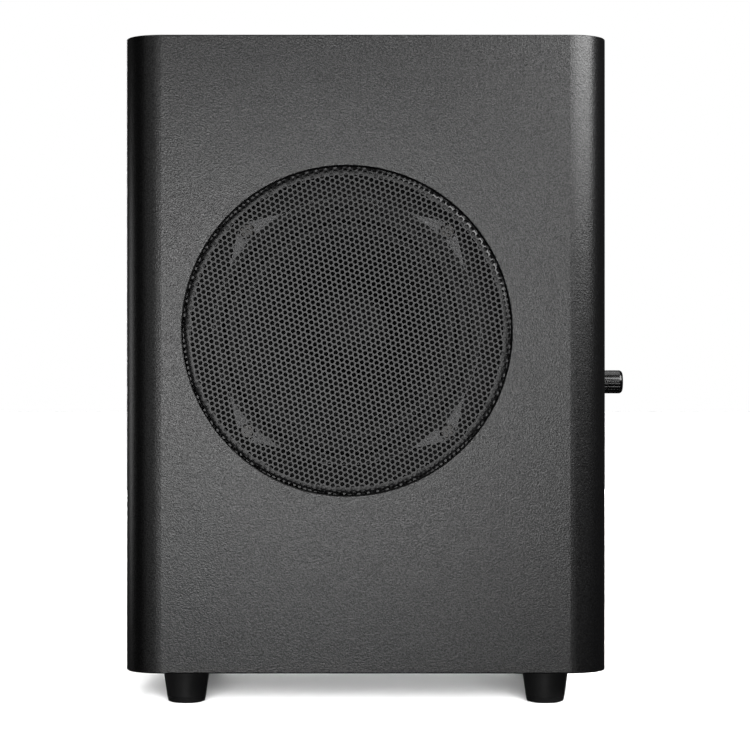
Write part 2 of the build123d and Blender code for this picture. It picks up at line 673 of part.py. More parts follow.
SINK_Y = (-50.0, 8.0)
SINK_Z = (BOARD_Z - 8.0, BOARD_Z + 30.0)
SINK_BASE = 4.0
FIN_COUNT = 8
FIN_LENGTH = 22.0
FIN_SHEET = 2.0


def heatsink():
    face = BOARD_BACK_X - SINK_BASE
    sink = block(face, BOARD_BACK_X, *SINK_Y, *SINK_Z)
    pitch = (SINK_Y[1] - SINK_Y[0] - FIN_SHEET) / (FIN_COUNT - 1)
    for i in range(FIN_COUNT):
        y = SINK_Y[0] + i * pitch
        sink += block(face - FIN_LENGTH, face, y, y + FIN_SHEET, *SINK_Z)
    return sink


CAN_RADIUS = 9.0
CAN_LENGTH = 32.0
CAN_ROUND = 1.2
CAN_Y = 30.0
CAN_ZS = (BOARD_Z - 16.0, BOARD_Z + 8.0)


def filter_capacitors():
    end = BOARD_BACK_X - CAN_LENGTH
    cans = []
    for z in CAN_ZS:
        can = bar_x(CAN_RADIUS, end, BOARD_BACK_X, CAN_Y, z)
        cans.append(fillet([e for e in can.edges() if e.center().X < end + TOLERANCE], CAN_ROUND))
    return group(cans)


TRANSFORMER_RADIUS = 31.0
TRANSFORMER_BORE = 11.0
TRANSFORMER_ROUND = 7.0
TRANSFORMER_THICKNESS = 30.0
TRANSFORMER_BOLT_RADIUS = 2.5
TRANSFORMER_HEAD = {"radius": 4.5, "height": 2.2, "rounding": 1.5, "turn": 35, "cross": (1.6, 4.6, 0.9)}
WASHER_RADIUS = 22.0
WASHER_THICKNESS = 1.5
NUT_RADIUS = 4.6
NUT_HEIGHT = 4.0
BOLT_END = 1.0  # past the nut


def toroid_transformer():
    front, back = X_PLATE_BACK, X_PLATE_BACK - TRANSFORMER_THICKNESS
    ring = bar_x(TRANSFORMER_RADIUS, back, front, 0, TRANSFORMER_Z)
    ring -= bar_x(TRANSFORMER_BORE, back, front, 0, TRANSFORMER_Z)
    rims = [e for e in ring.edges().filter_by(GeomType.CIRCLE) if e.radius > TRANSFORMER_BORE + TOLERANCE]
    return fillet(rims, TRANSFORMER_ROUND)


def transformer_mounting():
    """Clamping washer, and the bolt and nut that hold it and the transformer to the plate."""
    back = X_PLATE_BACK - TRANSFORMER_THICKNESS
    nut_face = back - WASHER_THICKNESS
    nut_end = nut_face - NUT_HEIGHT
    washer = bar_x(WASHER_RADIUS, nut_face, back, 0, TRANSFORMER_Z)
    washer -= bar_x(TRANSFORMER_BOLT_RADIUS, nut_face, back, 0, TRANSFORMER_Z)
    head = cross_head(X_PLATE, 0, TRANSFORMER_Z, **TRANSFORMER_HEAD)
    shank = bar_x(TRANSFORMER_BOLT_RADIUS, nut_end - BOLT_END, X_PLATE, 0, TRANSFORMER_Z)
    hexagon = Plane((nut_end, 0, TRANSFORMER_Z), z_dir=(1, 0, 0)) * RegularPolygon(NUT_RADIUS, 6)
    return group([washer, head + shank + extrude(hexagon, amount=NUT_HEIGHT)])


# ---------------------------------------------------------------- controls
POT_DEPTH = 8.0
POT_WIDTH = 16.5
POT_HEIGHT = 17.5
POT_CORNER = 2.0
POT_FLOOR = 1.0  # behind the shaft's hole
SHAFT_PLAY = 0.2  # between the shaft's end and that floor
BUSHING_END_X = X_PLATE + 2.8
KNOB_HOLLOW_X = BUSHING_END_X + 0.4
SHAFT_END_X = KNOB_TIP_X - 3.0
D_FLAT = 1.5  # flat of the shaft's D, from its axis
NUT_THICKNESS = 2.0
POT_NUT_RADIUS = 5.6


def pot_body(y):
    front = BOARD_X + POT_DEPTH
    body = slab_x(POT_WIDTH, POT_HEIGHT, POT_CORNER, BOARD_X, front, y, KNOB_Z)
    body += bar_x(BUSHING_RADIUS, front, BUSHING_END_X, y, KNOB_Z)
    return body - bar_x(SHAFT_RADIUS + RUNNING_CLEARANCE, BOARD_X + POT_FLOOR, BUSHING_END_X, y, KNOB_Z)


def pot_shaft(y):
    shaft = bar_x(SHAFT_RADIUS, BOARD_X + POT_FLOOR + SHAFT_PLAY, SHAFT_END_X, y, KNOB_Z)
    return shaft - d_cut(y)


def d_cut(y):
    """What a D shaft lacks, from the knob's hollow outwards."""
    reach = SHAFT_RADIUS + 1.0
    return block(KNOB_HOLLOW_X, SHAFT_END_X, y - reach, y + reach, KNOB_Z + D_FLAT, KNOB_Z + reach)


def pot_nut(y):
    plane = Plane((X_PLATE, y, KNOB_Z), z_dir=(1, 0, 0))
    nut = extrude(plane * RegularPolygon(POT_NUT_RADIUS, 6), amount=NUT_THICKNESS)
    return nut - bar_x(BUSHING_RADIUS, X_PLATE, X_PLATE + NUT_THICKNESS, y, KNOB_Z)


def pot_nuts():
    return group([pot_nut(y) for y in (LEVEL_Y, CROSSOVER_Y)])


KNOB_ROUND = 2.2  # round its end
KNOB_HOLLOW_RADIUS = 5.9
RIB_GROOVE_RADIUS = 0.45
RIB_GROOVE_CIRCLE = KNOB_RADIUS + 0.25
RIB_START = 1.2  # from the knob's base
RIB_STOP = 2.0  # from its tip
POINTER_WIDTH = 1.0
POINTER_DEPTH = 0.5
POINTER_START = 1.8  # from the knob's axis


def control_knob(y):
    """Ribbed knob with a rounded end, a pointer groove and a hollow for the nut."""
    base = X_PLATE + KNOB_GAP
    knob = bar_x(KNOB_RADIUS, base, KNOB_TIP_X, y, KNOB_Z)
    knob = fillet(edges_past_x(knob, KNOB_TIP_X - TOLERANCE), KNOB_ROUND)
    for i in range(KNOB_RIBS):
        turn = 2 * math.pi * (i + 0.5) / KNOB_RIBS
        groove_y = y + RIB_GROOVE_CIRCLE * math.cos(turn)
        groove_z = KNOB_Z + RIB_GROOVE_CIRCLE * math.sin(turn)
        knob -= bar_x(RIB_GROOVE_RADIUS, base + RIB_START, KNOB_TIP_X - RIB_STOP, groove_y, groove_z)
    knob -= block(
        KNOB_TIP_X - POINTER_DEPTH,
        KNOB_TIP_X,
        y - POINTER_WIDTH / 2,
        y + POINTER_WIDTH / 2,
        KNOB_Z + POINTER_START,
        KNOB_Z + KNOB_RADIUS,
    )
    knob -= bar_x(KNOB_HOLLOW_RADIUS, base, KNOB_HOLLOW_X, y, KNOB_Z)
    return knob - (bar_x(SHAFT_RADIUS, base, SHAFT_END_X, y, KNOB_Z) - d_cut(y))


SLOT_WIDTH = 9.6  # opening of the phase switch
SLOT_HEIGHT = 5.0
SLOT_DEPTH = 5.0
PHASE_BODY_DEPTH = 9.0
PHASE_BODY_WIDTH = 20.0
PHASE_BODY_HEIGHT = 10.0
SLIDER_WIDTH = 5.0
SLIDER_HEIGHT = 4.6
SLIDER_PROUD = 2.4
SLIDER_PLAY = 0.2  # behind the slider
SLIDER_GROOVES = (1.2, 2.5, 3.8)  # from the slider's side
SLIDER_GROOVE_WIDTH = 0.5
SLIDER_GROOVE_DEPTH = 0.5


def centred(middle, size):
    """Limits of a size about its middle."""
    return middle - size / 2, middle + size / 2


def phase_switch_body():
    front = X_PLATE_BACK
    wide, high = centred(PHASE_Y, PHASE_BODY_WIDTH), centred(JACK_Z, PHASE_BODY_HEIGHT)
    body = block(front - PHASE_BODY_DEPTH, front, *wide, *high)
    slot_wide, slot_high = centred(PHASE_Y, SLOT_WIDTH), centred(JACK_Z, SLOT_HEIGHT)
    return body - block(front - SLOT_DEPTH, front, *slot_wide, *slot_high)


def phase_switch_slider():
    """The slider at the low end of its travel along +Y."""
    back = X_PLATE_BACK - SLOT_DEPTH + SLIDER_PLAY
    top = X_PLATE + SLIDER_PROUD
    y_from = PHASE_Y - (PHASE_TRAVEL + SLIDER_WIDTH) / 2
    high = centred(JACK_Z, SLIDER_HEIGHT)
    button = block(back, top, y_from, y_from + SLIDER_WIDTH, *high)
    for offset in SLIDER_GROOVES:
        wide = centred(y_from + offset, SLIDER_GROOVE_WIDTH)
        button -= block(top - SLIDER_GROOVE_DEPTH, top, *wide, *high)
    return button


LED_RADIUS = 1.5
LED_PROUD = 0.2  # straight part of the lens past the plate


def status_light():
    start, end = BOARD_X, X_PLATE + LED_PROUD
    stem = bar_x(LED_RADIUS, start, end, LEVEL_Y, LED_Z)
    return stem + Pos(end, LEVEL_Y, LED_Z) * Sphere(LED_RADIUS)


# ---------------------------------------------------------------- line input sockets
JACK_BOSS_RADIUS = 4.6
JACK_SLEEVE_RADIUS = 4.15
JACK_CORE_RADIUS = 3.4
JACK_LENGTH = 8.5
JACK_COLLAR = 1.4
JACK_UNDERCUT = 0.2  # between the collar and the metal sleeve
JACK_COLLAR_RADIUS = 6.3
JACK_NECK_RADIUS = JACK_SLEEVE_RADIUS - 0.3
JACK_CORE_SUNK = 0.6  # inside the sleeve's end
JACK_PIN_RADIUS = 1.65
JACK_CHAMFER = 0.4
JACK_BLOCK_MARGIN = 9.0  # from a socket's axis to the block's side
JACK_BLOCK_HEIGHT = 16.0


def line_input_block():
    y_from, y_to = JACK_YS[0] - JACK_BLOCK_MARGIN, JACK_YS[1] + JACK_BLOCK_MARGIN
    body = block(BOARD_X, X_PLATE_BACK, y_from, y_to, *centred(JACK_Z, JACK_BLOCK_HEIGHT))
    for y in JACK_YS:
        body += bar_x(JACK_BOSS_RADIUS, X_PLATE_BACK, X_PLATE, y, JACK_Z)
    return body


def jack_sleeve(y):
    start, end = X_PLATE + JACK_COLLAR + JACK_UNDERCUT, X_PLATE + JACK_LENGTH
    sleeve = bar_x(JACK_SLEEVE_RADIUS, start, end, y, JACK_Z)
    sleeve = chamfer(edges_past_x(sleeve, end - TOLERANCE), JACK_CHAMFER)
    return sleeve - bar_x(JACK_CORE_RADIUS, start, end, y, JACK_Z)


def jack_sleeves():
    return group([jack_sleeve(y) for y in JACK_YS])


def jack_insulator(y):
    """Coloured collar on the plate, and the core inside the sleeve, with the pin's hole."""
    collar_end = X_PLATE + JACK_COLLAR
    core_end = X_PLATE + JACK_LENGTH - JACK_CORE_SUNK
    insulator = bar_x(JACK_COLLAR_RADIUS, X_PLATE, collar_end, y, JACK_Z)
    insulator += bar_x(JACK_NECK_RADIUS, X_PLATE, collar_end + JACK_UNDERCUT, y, JACK_Z)
    insulator += bar_x(JACK_CORE_RADIUS, X_PLATE, core_end, y, JACK_Z)
    return insulator - bar_x(JACK_PIN_RADIUS, X_PLATE, core_end, y, JACK_Z)


# ---------------------------------------------------------------- mains inlet
INLET_WIDTH = 27.4
INLET_HEIGHT = 20.0
INLET_CORNER = 3.0
INLET_FLANGE = 2.5
INLET_FLANGE_WIDTH = 48.0
INLET_FLANGE_HEIGHT = 22.6
INLET_FLANGE_CORNER = 3.9
INLET_CHAMFER = 0.5
INLET_SCREW_OFFSET = 20.0
INLET_SCREW_END_X = X_PLATE_BACK - 4.0
INLET_DEPTH = 22.0
INLET_CAVITY_DEPTH = 16.0
INLET_CAVITY_HALF = (12.2, 8.3)
INLET_CAVITY_SLOPE = 4.2  # of its two upper corners
INLET_FACE_X = X_PLATE + INLET_FLANGE
BLADE_THICKNESS = 2.0
BLADE_HEIGHT = 4.0
BLADE_BEHIND = 8.0  # tails out of the inlet's back
BLADE_SUNK = 1.5  # tips inside the cavity's mouth
BLADE_OFFSETS = ((-7.0, -2.0), (7.0, -2.0), (0.0, 2.0))  # (y, z) of the three blades


def mains_inlet():
    flange = slab_x(
        INLET_FLANGE_WIDTH, INLET_FLANGE_HEIGHT, INLET_FLANGE_CORNER, X_PLATE, INLET_FACE_X, INLET_Y, INLET_Z
    )
    flange = chamfer(edges_past_x(flange, INLET_FACE_X - TOLERANCE), INLET_CHAMFER)
    back = INLET_FACE_X - INLET_DEPTH
    inlet = flange + slab_x(INLET_WIDTH, INLET_HEIGHT, INLET_CORNER, back, X_PLATE, INLET_Y, INLET_Z)
    bottom = INLET_FACE_X - INLET_CAVITY_DEPTH
    plane = Plane((bottom, INLET_Y, INLET_Z), x_dir=(0, 1, 0), z_dir=(1, 0, 0))
    half_w, half_h = INLET_CAVITY_HALF
    slope = INLET_CAVITY_SLOPE
    cavity = Polyline(
        (-half_w, -half_h),
        (half_w, -half_h),
        (half_w, half_h - slope),
        (half_w - slope, half_h),
        (slope - half_w, half_h),
        (-half_w, half_h - slope),
        close=True,
    )
    inlet -= extrude(plane * make_face(cavity), amount=INLET_CAVITY_DEPTH)
    for side in (-1, 1):
        y = INLET_Y + side * INLET_SCREW_OFFSET
        inlet -= bar_x(SMALL_SCREW_RADIUS, X_PLATE, INLET_FACE_X, y, INLET_Z)
    for blade in inlet_blade_list(back, bottom):
        inlet -= blade
    return inlet


def inlet_blade_list(x_from, x_to):
    blades = []
    for y_off, z_off in BLADE_OFFSETS:
        y, z = INLET_Y + y_off, INLET_Z + z_off
        blades.append(block(x_from, x_to, *centred(y, BLADE_THICKNESS), *centred(z, BLADE_HEIGHT)))
    return blades


def inlet_blades():
    return group(inlet_blade_list(INLET_FACE_X - INLET_DEPTH - BLADE_BEHIND, INLET_FACE_X - BLADE_SUNK))


INLET_HEAD = {"radius": 2.9, "height": 1.4, "rounding": 0.9, "turn": 10, "cross": (0.8, 3.0, 0.6)}


def inlet_screws():
    screws = []
    for side in (-1, 1):
        y = INLET_Y + side * INLET_SCREW_OFFSET
        head = cross_head(INLET_FACE_X, y, INLET_Z, **INLET_HEAD)
        screws.append(head + bar_x(SMALL_SCREW_RADIUS, INLET_SCREW_END_X, INLET_FACE_X, y, INLET_Z))
    return group(screws)


# ---------------------------------------------------------------- power switch
ROCKER_PIVOT_X = X_PLATE - 3.0
ROCKER_WIDTH = 11.2
ROCKER_PIN_RADIUS = 1.2
ROCKER_PIN_LENGTH = 12.7
PIN_HOLE_LENGTH = 12.9
BEZEL_WIDTH = 15.0
BEZEL_HEIGHT = 21.4
BEZEL_CORNER = 1.5
BEZEL_PROUD = 2.0
BEZEL_CHAMFER = 0.6
SWITCH_DEPTH = 17.0
WELL_WIDTH = 11.6  # hollow that the rocker tilts in
WELL_HEIGHT = 17.8
WELL_DEPTH = 9.0
# Side view of the upright rocker, as (x, z) from its pin: a keel, and a dished face with two ends
ROCKER_OUTLINE = ((-3.4, -2.0), (-3.4, 2.0), (0.5, 6.6), (5.0, 7.5), (3.7, 0.0), (5.0, -7.5), (0.5, -6.6))


def power_switch_body():
    front = X_PLATE + BEZEL_PROUD
    back = X_PLATE - SWITCH_DEPTH
    bezel = slab_x(BEZEL_WIDTH, BEZEL_HEIGHT, BEZEL_CORNER, X_PLATE, front, ROCKER_Y, ROCKER_Z)
    bezel = chamfer(edges_past_x(bezel, front - TOLERANCE), BEZEL_CHAMFER)
    body = bezel + slab_x(SWITCH_WIDTH, SWITCH_HEIGHT, SWITCH_CORNER, back, X_PLATE, ROCKER_Y, ROCKER_Z)
    wide, high = centred(ROCKER_Y, WELL_WIDTH), centred(ROCKER_Z, WELL_HEIGHT)
    body -= block(X_PLATE - WELL_DEPTH, front, *wide, *high)
    pin_hole = ROCKER_PIN_RADIUS + RUNNING_CLEARANCE
    return body - bar_y(pin_hole, *centred(ROCKER_Y, PIN_HOLE_LENGTH), ROCKER_PIVOT_X, ROCKER_Z)


def power_rocker():
    """Rocker tilted to its off side: its upper half stands out."""
    side = make_face(Polyline(*ROCKER_OUTLINE, close=True))
    upright = extrude(Plane.XZ.offset(-ROCKER_WIDTH / 2) * side, amount=ROCKER_WIDTH)
    pin_plane = Plane.XZ.offset(-ROCKER_PIN_LENGTH / 2)
    pins = extrude(pin_plane * Circle(ROCKER_PIN_RADIUS), amount=ROCKER_PIN_LENGTH)
    place = Pos(ROCKER_PIVOT_X, ROCKER_Y, ROCKER_Z) * Rot(0, ROCKER_TILT, 0)
    return place * (upright + pins)


# ---------------------------------------------------------------- loudspeaker lead and damping
LEAD_RADIUS = 2.0
PLUG_Y = -44.0
PLUG_Z = BOARD_Z - 30.0
PLUG_LENGTH = 8.0
PLUG_WIDTH = 12.0
PLUG_HEIGHT = 8.0
SHELL_REACH = 71.2  # from the woofer's axis to the middle of the shell over its blades
SHELL_SIZE = (9.6, 4.0, 14.6)
LEAD_END_REACH = 76.0  # where the lead enters the shell
LEAD_RUN_REACH = 90.0  # the lead is straight from here to there
# The lead's bends after the plug, as steps along -X, along Y and down
LEAD_BENDS = ((14.0, 0.0, 0.0), (26.0, -1.5, 16.0), (38.0, -5.5, 42.0))


def lead_route():
    """From the plug on the board to the woofer's terminals, inside the cabinet."""
    start_x = BOARD_BACK_X - PLUG_LENGTH
    end_x, end_z = around_woofer(TERMINAL_ANGLE, LEAD_END_REACH)
    near_x, near_z = around_woofer(TERMINAL_ANGLE, LEAD_RUN_REACH)
    bends = [(start_x - back, PLUG_Y + aside, PLUG_Z - down) for back, aside, down in LEAD_BENDS]
    return [(start_x, PLUG_Y, PLUG_Z), *bends, (near_x, TERMINAL_Y, near_z), (end_x, TERMINAL_Y, end_z)]


BEND_SHARE = 0.45  # of a straight run that a bend at its end may take up


def lead_radii(points):
    """Each corner's arc as large as its two runs allow."""
    radii = []
    for before, at, after in zip(points, points[1:], points[2:]):
        a, b = Vector(*at) - Vector(*before), Vector(*after) - Vector(*at)
        turn = math.radians(a.get_angle(b))
        radii.append(BEND_SHARE * min(a.length, b.length) / math.tan(turn / 2))
    return radii


def speaker_lead():
    route = lead_route()
    path = FilletPolyline(*route, radius=lead_radii(route))
    section = Plane(path @ 0, z_dir=path % 0) * Circle(LEAD_RADIUS)
    return sweep(section, path)


def lead_plugs():
    """The plug in its socket on the board, and the shell over the woofer's blades."""
    wide, high = centred(PLUG_Y, PLUG_WIDTH), centred(PLUG_Z, PLUG_HEIGHT)
    plug = block(BOARD_BACK_X - PLUG_LENGTH, BOARD_BACK_X, *wide, *high)
    shell = Pos(SHELL_REACH, TERMINAL_Y, 0) * Box(*SHELL_SIZE)
    place = Pos(WOOFER_X, 0, WOOFER_Z) * Rot(0, -TERMINAL_ANGLE, 0)
    return group([plug, (place * shell) - woofer_terminals()])


PAD_X = (-100.0, 90.0)
PAD_THICKNESS = 18.0
PAD_MARGIN = 40.0  # from the cabinet's top and bottom


def damping_pad():
    """Polyester wadding glued inside the plain side."""
    return block(*PAD_X, Y_INSIDE - PAD_THICKNESS, Y_INSIDE, Z_LOW + PAD_MARGIN, Z_HIGH - PAD_MARGIN)


# ---------------------------------------------------------------- the pieces
FEET = dict(zip(("foot_1", "foot_2", "foot_3", "foot_4"), foot_places()))

PIECES = {
    "woofer_panel": woofer_panel,
    "plain_panel": plain_panel,
    "blank_end_panel": blank_end_panel,
    "amplifier_end_panel": amplifier_end_panel,
    "top_panel": top_panel,
    "bottom_panel": bottom_panel,
    **{name: (lambda place=place: foot(*place)) for name, place in FEET.items()},
    "foot_pads": foot_pads,
    "foot_screws": foot_screws,
    "woofer_grille": woofer_grille,
    "grille_ring": grille_ring,
    "woofer_frame": woofer_frame,
    "woofer_gasket": woofer_gasket,
    "woofer_surround": woofer_surround,
    "woofer_cone": woofer_cone,
    "dust_cap": dust_cap,
    "coil_former": coil_former,
    "coil_winding": coil_winding,
    "woofer_spider": woofer_spider,
    "magnet_top_plate": magnet_top_plate,
    "magnet_ring": magnet_ring,
    "pole_yoke": pole_yoke,
    "woofer_terminals": woofer_terminals,
    "woofer_screws": woofer_screws,
    "bass_port": bass_port,
    "amplifier_plate": amplifier_plate,
    "plate_seal": plate_seal,
    "plate_screws": plate_screws,
    "amplifier_board": amplifier_board,
    "board_fixings": board_fixings,
    "heatsink": heatsink,
    "filter_capacitors": filter_capacitors,
    "toroid_transformer": toroid_transformer,
    "transformer_mounting": transformer_mounting,
    "level_pot": lambda: pot_body(LEVEL_Y),
    "level_shaft": lambda: pot_shaft(LEVEL_Y),
    "level_knob": lambda: control_knob(LEVEL_Y),
    "crossover_pot": lambda: pot_body(CROSSOVER_Y),
    "crossover_shaft": lambda: pot_shaft(CROSSOVER_Y),
    "crossover_knob": lambda: control_knob(CROSSOVER_Y),
    "pot_nuts": pot_nuts,
    "phase_switch_body": phase_switch_body,
    "phase_switch_slider": phase_switch_slider,
    "status_light": status_light,
    "line_input_block": line_input_block,
    "jack_sleeves": jack_sleeves,
    "jack_insulator_white": lambda: jack_insulator(JACK_YS[0]),
    "jack_insulator_red": lambda: jack_insulator(JACK_YS[1]),
    "mains_inlet": mains_inlet,
    "inlet_blades": inlet_blades,
    "inlet_screws": inlet_screws,
    "power_switch_body": power_switch_body,
    "power_rocker": power_rocker,
    "speaker_lead": speaker_lead,
    "lead_plugs": lead_plugs,
    "damping_pad": damping_pad,
}


def main():
    os.makedirs("parts", exist_ok=True)
    for name, make in PIECES.items():
        export_step(make(), f"parts/{name}.step")
    print("radii of the speaker lead's bends:", [round(r, 1) for r in lead_radii(lead_route())])
    print(len(PIECES), "pieces written")


main()
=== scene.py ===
"""Finishes, soft parts and studio for the active subwoofer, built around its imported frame.

Metres, +Z up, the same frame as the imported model: the woofer fires along -Y, and the
amplifier plate is on the +X end.
"""

import json
import math

import bmesh
import bpy
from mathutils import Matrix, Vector, noise


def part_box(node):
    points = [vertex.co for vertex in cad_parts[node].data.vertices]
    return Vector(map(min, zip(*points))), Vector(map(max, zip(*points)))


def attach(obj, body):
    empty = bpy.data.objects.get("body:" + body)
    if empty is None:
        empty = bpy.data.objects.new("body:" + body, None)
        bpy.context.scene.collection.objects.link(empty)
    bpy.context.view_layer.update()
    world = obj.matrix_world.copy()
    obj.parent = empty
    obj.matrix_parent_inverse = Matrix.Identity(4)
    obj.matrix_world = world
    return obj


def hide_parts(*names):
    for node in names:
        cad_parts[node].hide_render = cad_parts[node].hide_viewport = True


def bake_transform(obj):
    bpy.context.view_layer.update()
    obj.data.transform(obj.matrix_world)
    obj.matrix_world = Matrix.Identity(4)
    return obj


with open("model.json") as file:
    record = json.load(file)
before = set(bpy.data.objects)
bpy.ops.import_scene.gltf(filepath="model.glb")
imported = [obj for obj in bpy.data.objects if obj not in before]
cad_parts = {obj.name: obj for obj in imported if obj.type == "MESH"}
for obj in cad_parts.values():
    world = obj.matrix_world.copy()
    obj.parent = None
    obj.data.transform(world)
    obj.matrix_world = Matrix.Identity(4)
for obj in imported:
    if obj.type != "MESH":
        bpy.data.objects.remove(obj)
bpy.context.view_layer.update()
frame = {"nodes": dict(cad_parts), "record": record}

MM = 0.001

# ---------------------------------------------------------------- places, all from the frame
CABINET_LOW, CABINET_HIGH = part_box("woofer_panel")
INSIDE_LOW = Vector((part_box("blank_end_panel")[1].x, CABINET_HIGH.y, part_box("bottom_panel")[1].z))
INSIDE_HIGH = Vector(
    (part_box("amplifier_end_panel")[0].x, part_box("plain_panel")[0].y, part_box("top_panel")[0].z)
)
GRILLE_LOW, GRILLE_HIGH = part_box("woofer_grille")
WOOFER = (GRILLE_LOW + GRILLE_HIGH) / 2
GRILLE_RADIUS = (GRILLE_HIGH.x - GRILLE_LOW.x) / 2
PLATE_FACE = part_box("amplifier_plate")[1].x


def middle(node):
    low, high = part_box(node)
    return (low + high) / 2


# ---------------------------------------------------------------- camera and lights
CAMERA_DISTANCE = 1.3  # in front of the woofer side
CAMERA_HEIGHT = 0.182
CAMERA_LENS = 110.8
CAMERA_SHIFT = (0.0122, 0.0147)
FLOOR_SIZE = 30
FLOOR_SUN_PLACE = (0.1, -2.0, 0.28)
FLOOR_SUN_STRENGTH = 24
FLOOR_SUN_SPREAD = math.radians(34)
WORLD_GLOW = 0.02
CHEST = (0, 0, 0.2)
# place, target, (width, height) and watts of each soft box
SOFT_BOXES = {
    "front_soft": ((-0.17, -2.7, 0.22), CHEST, (0.9, 0.2), 18),
    "right_box": ((0.546, -0.533, 0.66), (0.1, -0.1, 0.3), (0.86, 0.6), 16),
    "left_rim": ((-1.05, 0.42, 0.2), CHEST, (0.3, 0.35), 0.5),
    "left_fill": ((-1.2, -1.7, 0.3), CHEST, (1.6, 1.2), 3.0),
    "overhead": ((0, 0.2, 1.9), CHEST, (1.4, 1.4), 12),
    "back_soft": ((-0.2, 2.6, 0.5), CHEST, (1.2, 0.9), 30),
}


def aim(thing, target):
    direction = Vector(target) - thing.location
    thing.rotation_euler = direction.to_track_quat("-Z", "Y").to_euler()


def add_camera():
    """Level, in front of the woofer side and on the cabinet's centre line."""
    data = bpy.data.cameras.new("camera")
    camera = bpy.data.objects.new("camera", data)
    bpy.context.scene.collection.objects.link(camera)
    camera.location = (0, CABINET_LOW.y - CAMERA_DISTANCE, CAMERA_HEIGHT)
    aim(camera, (0, 0, camera.location.z))
    data.lens = CAMERA_LENS
    data.shift_x, data.shift_y = CAMERA_SHIFT
    bpy.context.scene.camera = camera


def add_light(name, place, target, size, power):
    """Soft box of (width, height) that the camera doesn't see."""
    data = bpy.data.lights.new(name, "AREA")
    data.shape = "RECTANGLE"
    data.size, data.size_y = size
    data.energy = power
    light = bpy.data.objects.new(name, data)
    bpy.context.scene.collection.objects.link(light)
    light.location = place
    aim(light, target)
    light.visible_camera = False


def add_floor():
    bpy.ops.mesh.primitive_plane_add(size=FLOOR_SIZE, location=(0, 0, 0))
    floor = bpy.context.object
    floor.name = "floor"
    paper = Finish("floor_paper", (0.9, 0.9, 0.9), Roughness=0.9)
    floor.data.materials.append(paper.material)
    floor.visible_glossy = False
    floor.visible_diffuse = False
    return floor


def light_floor(floor):
    """Broad light from the front for the floor alone, so that it stays white round a dark object."""
    data = bpy.data.lights.new("floor_light", "SUN")
    data.energy = FLOOR_SUN_STRENGTH
    data.angle = FLOOR_SUN_SPREAD
    light = bpy.data.objects.new("floor_light", data)
    bpy.context.scene.collection.objects.link(light)
    light.location = FLOOR_SUN_PLACE
    aim(light, (0, 0, 0))
    lit = bpy.data.collections.new("lit_by_floor_light")
    lit.objects.link(floor)
    light.light_linking.receiver_collection = lit


def add_world():
    """White where the camera looks, dim grey as a light."""
    world = bpy.data.worlds.new("studio")
    world.use_nodes = True
    bpy.context.scene.world = world
    tree = world.node_tree
    background = tree.nodes["Background"]
    background.inputs["Color"].default_value = (1, 1, 1, 1)
    path = tree.nodes.new("ShaderNodeLightPath")
    strength = tree.nodes.new("ShaderNodeMapRange")
    strength.inputs["To Min"].default_value = WORLD_GLOW
    strength.inputs["To Max"].default_value = 1.0
    tree.links.new(path.outputs["Is Camera Ray"], strength.inputs["Value"])
    tree.links.new(strength.outputs["Result"], background.inputs["Strength"])


def add_studio():
    bpy.context.scene.view_settings.view_transform = "Standard"
    floor = add_floor()
    light_floor(floor)
    add_world()
    for name, box in SOFT_BOXES.items():
        add_light(name, *box)


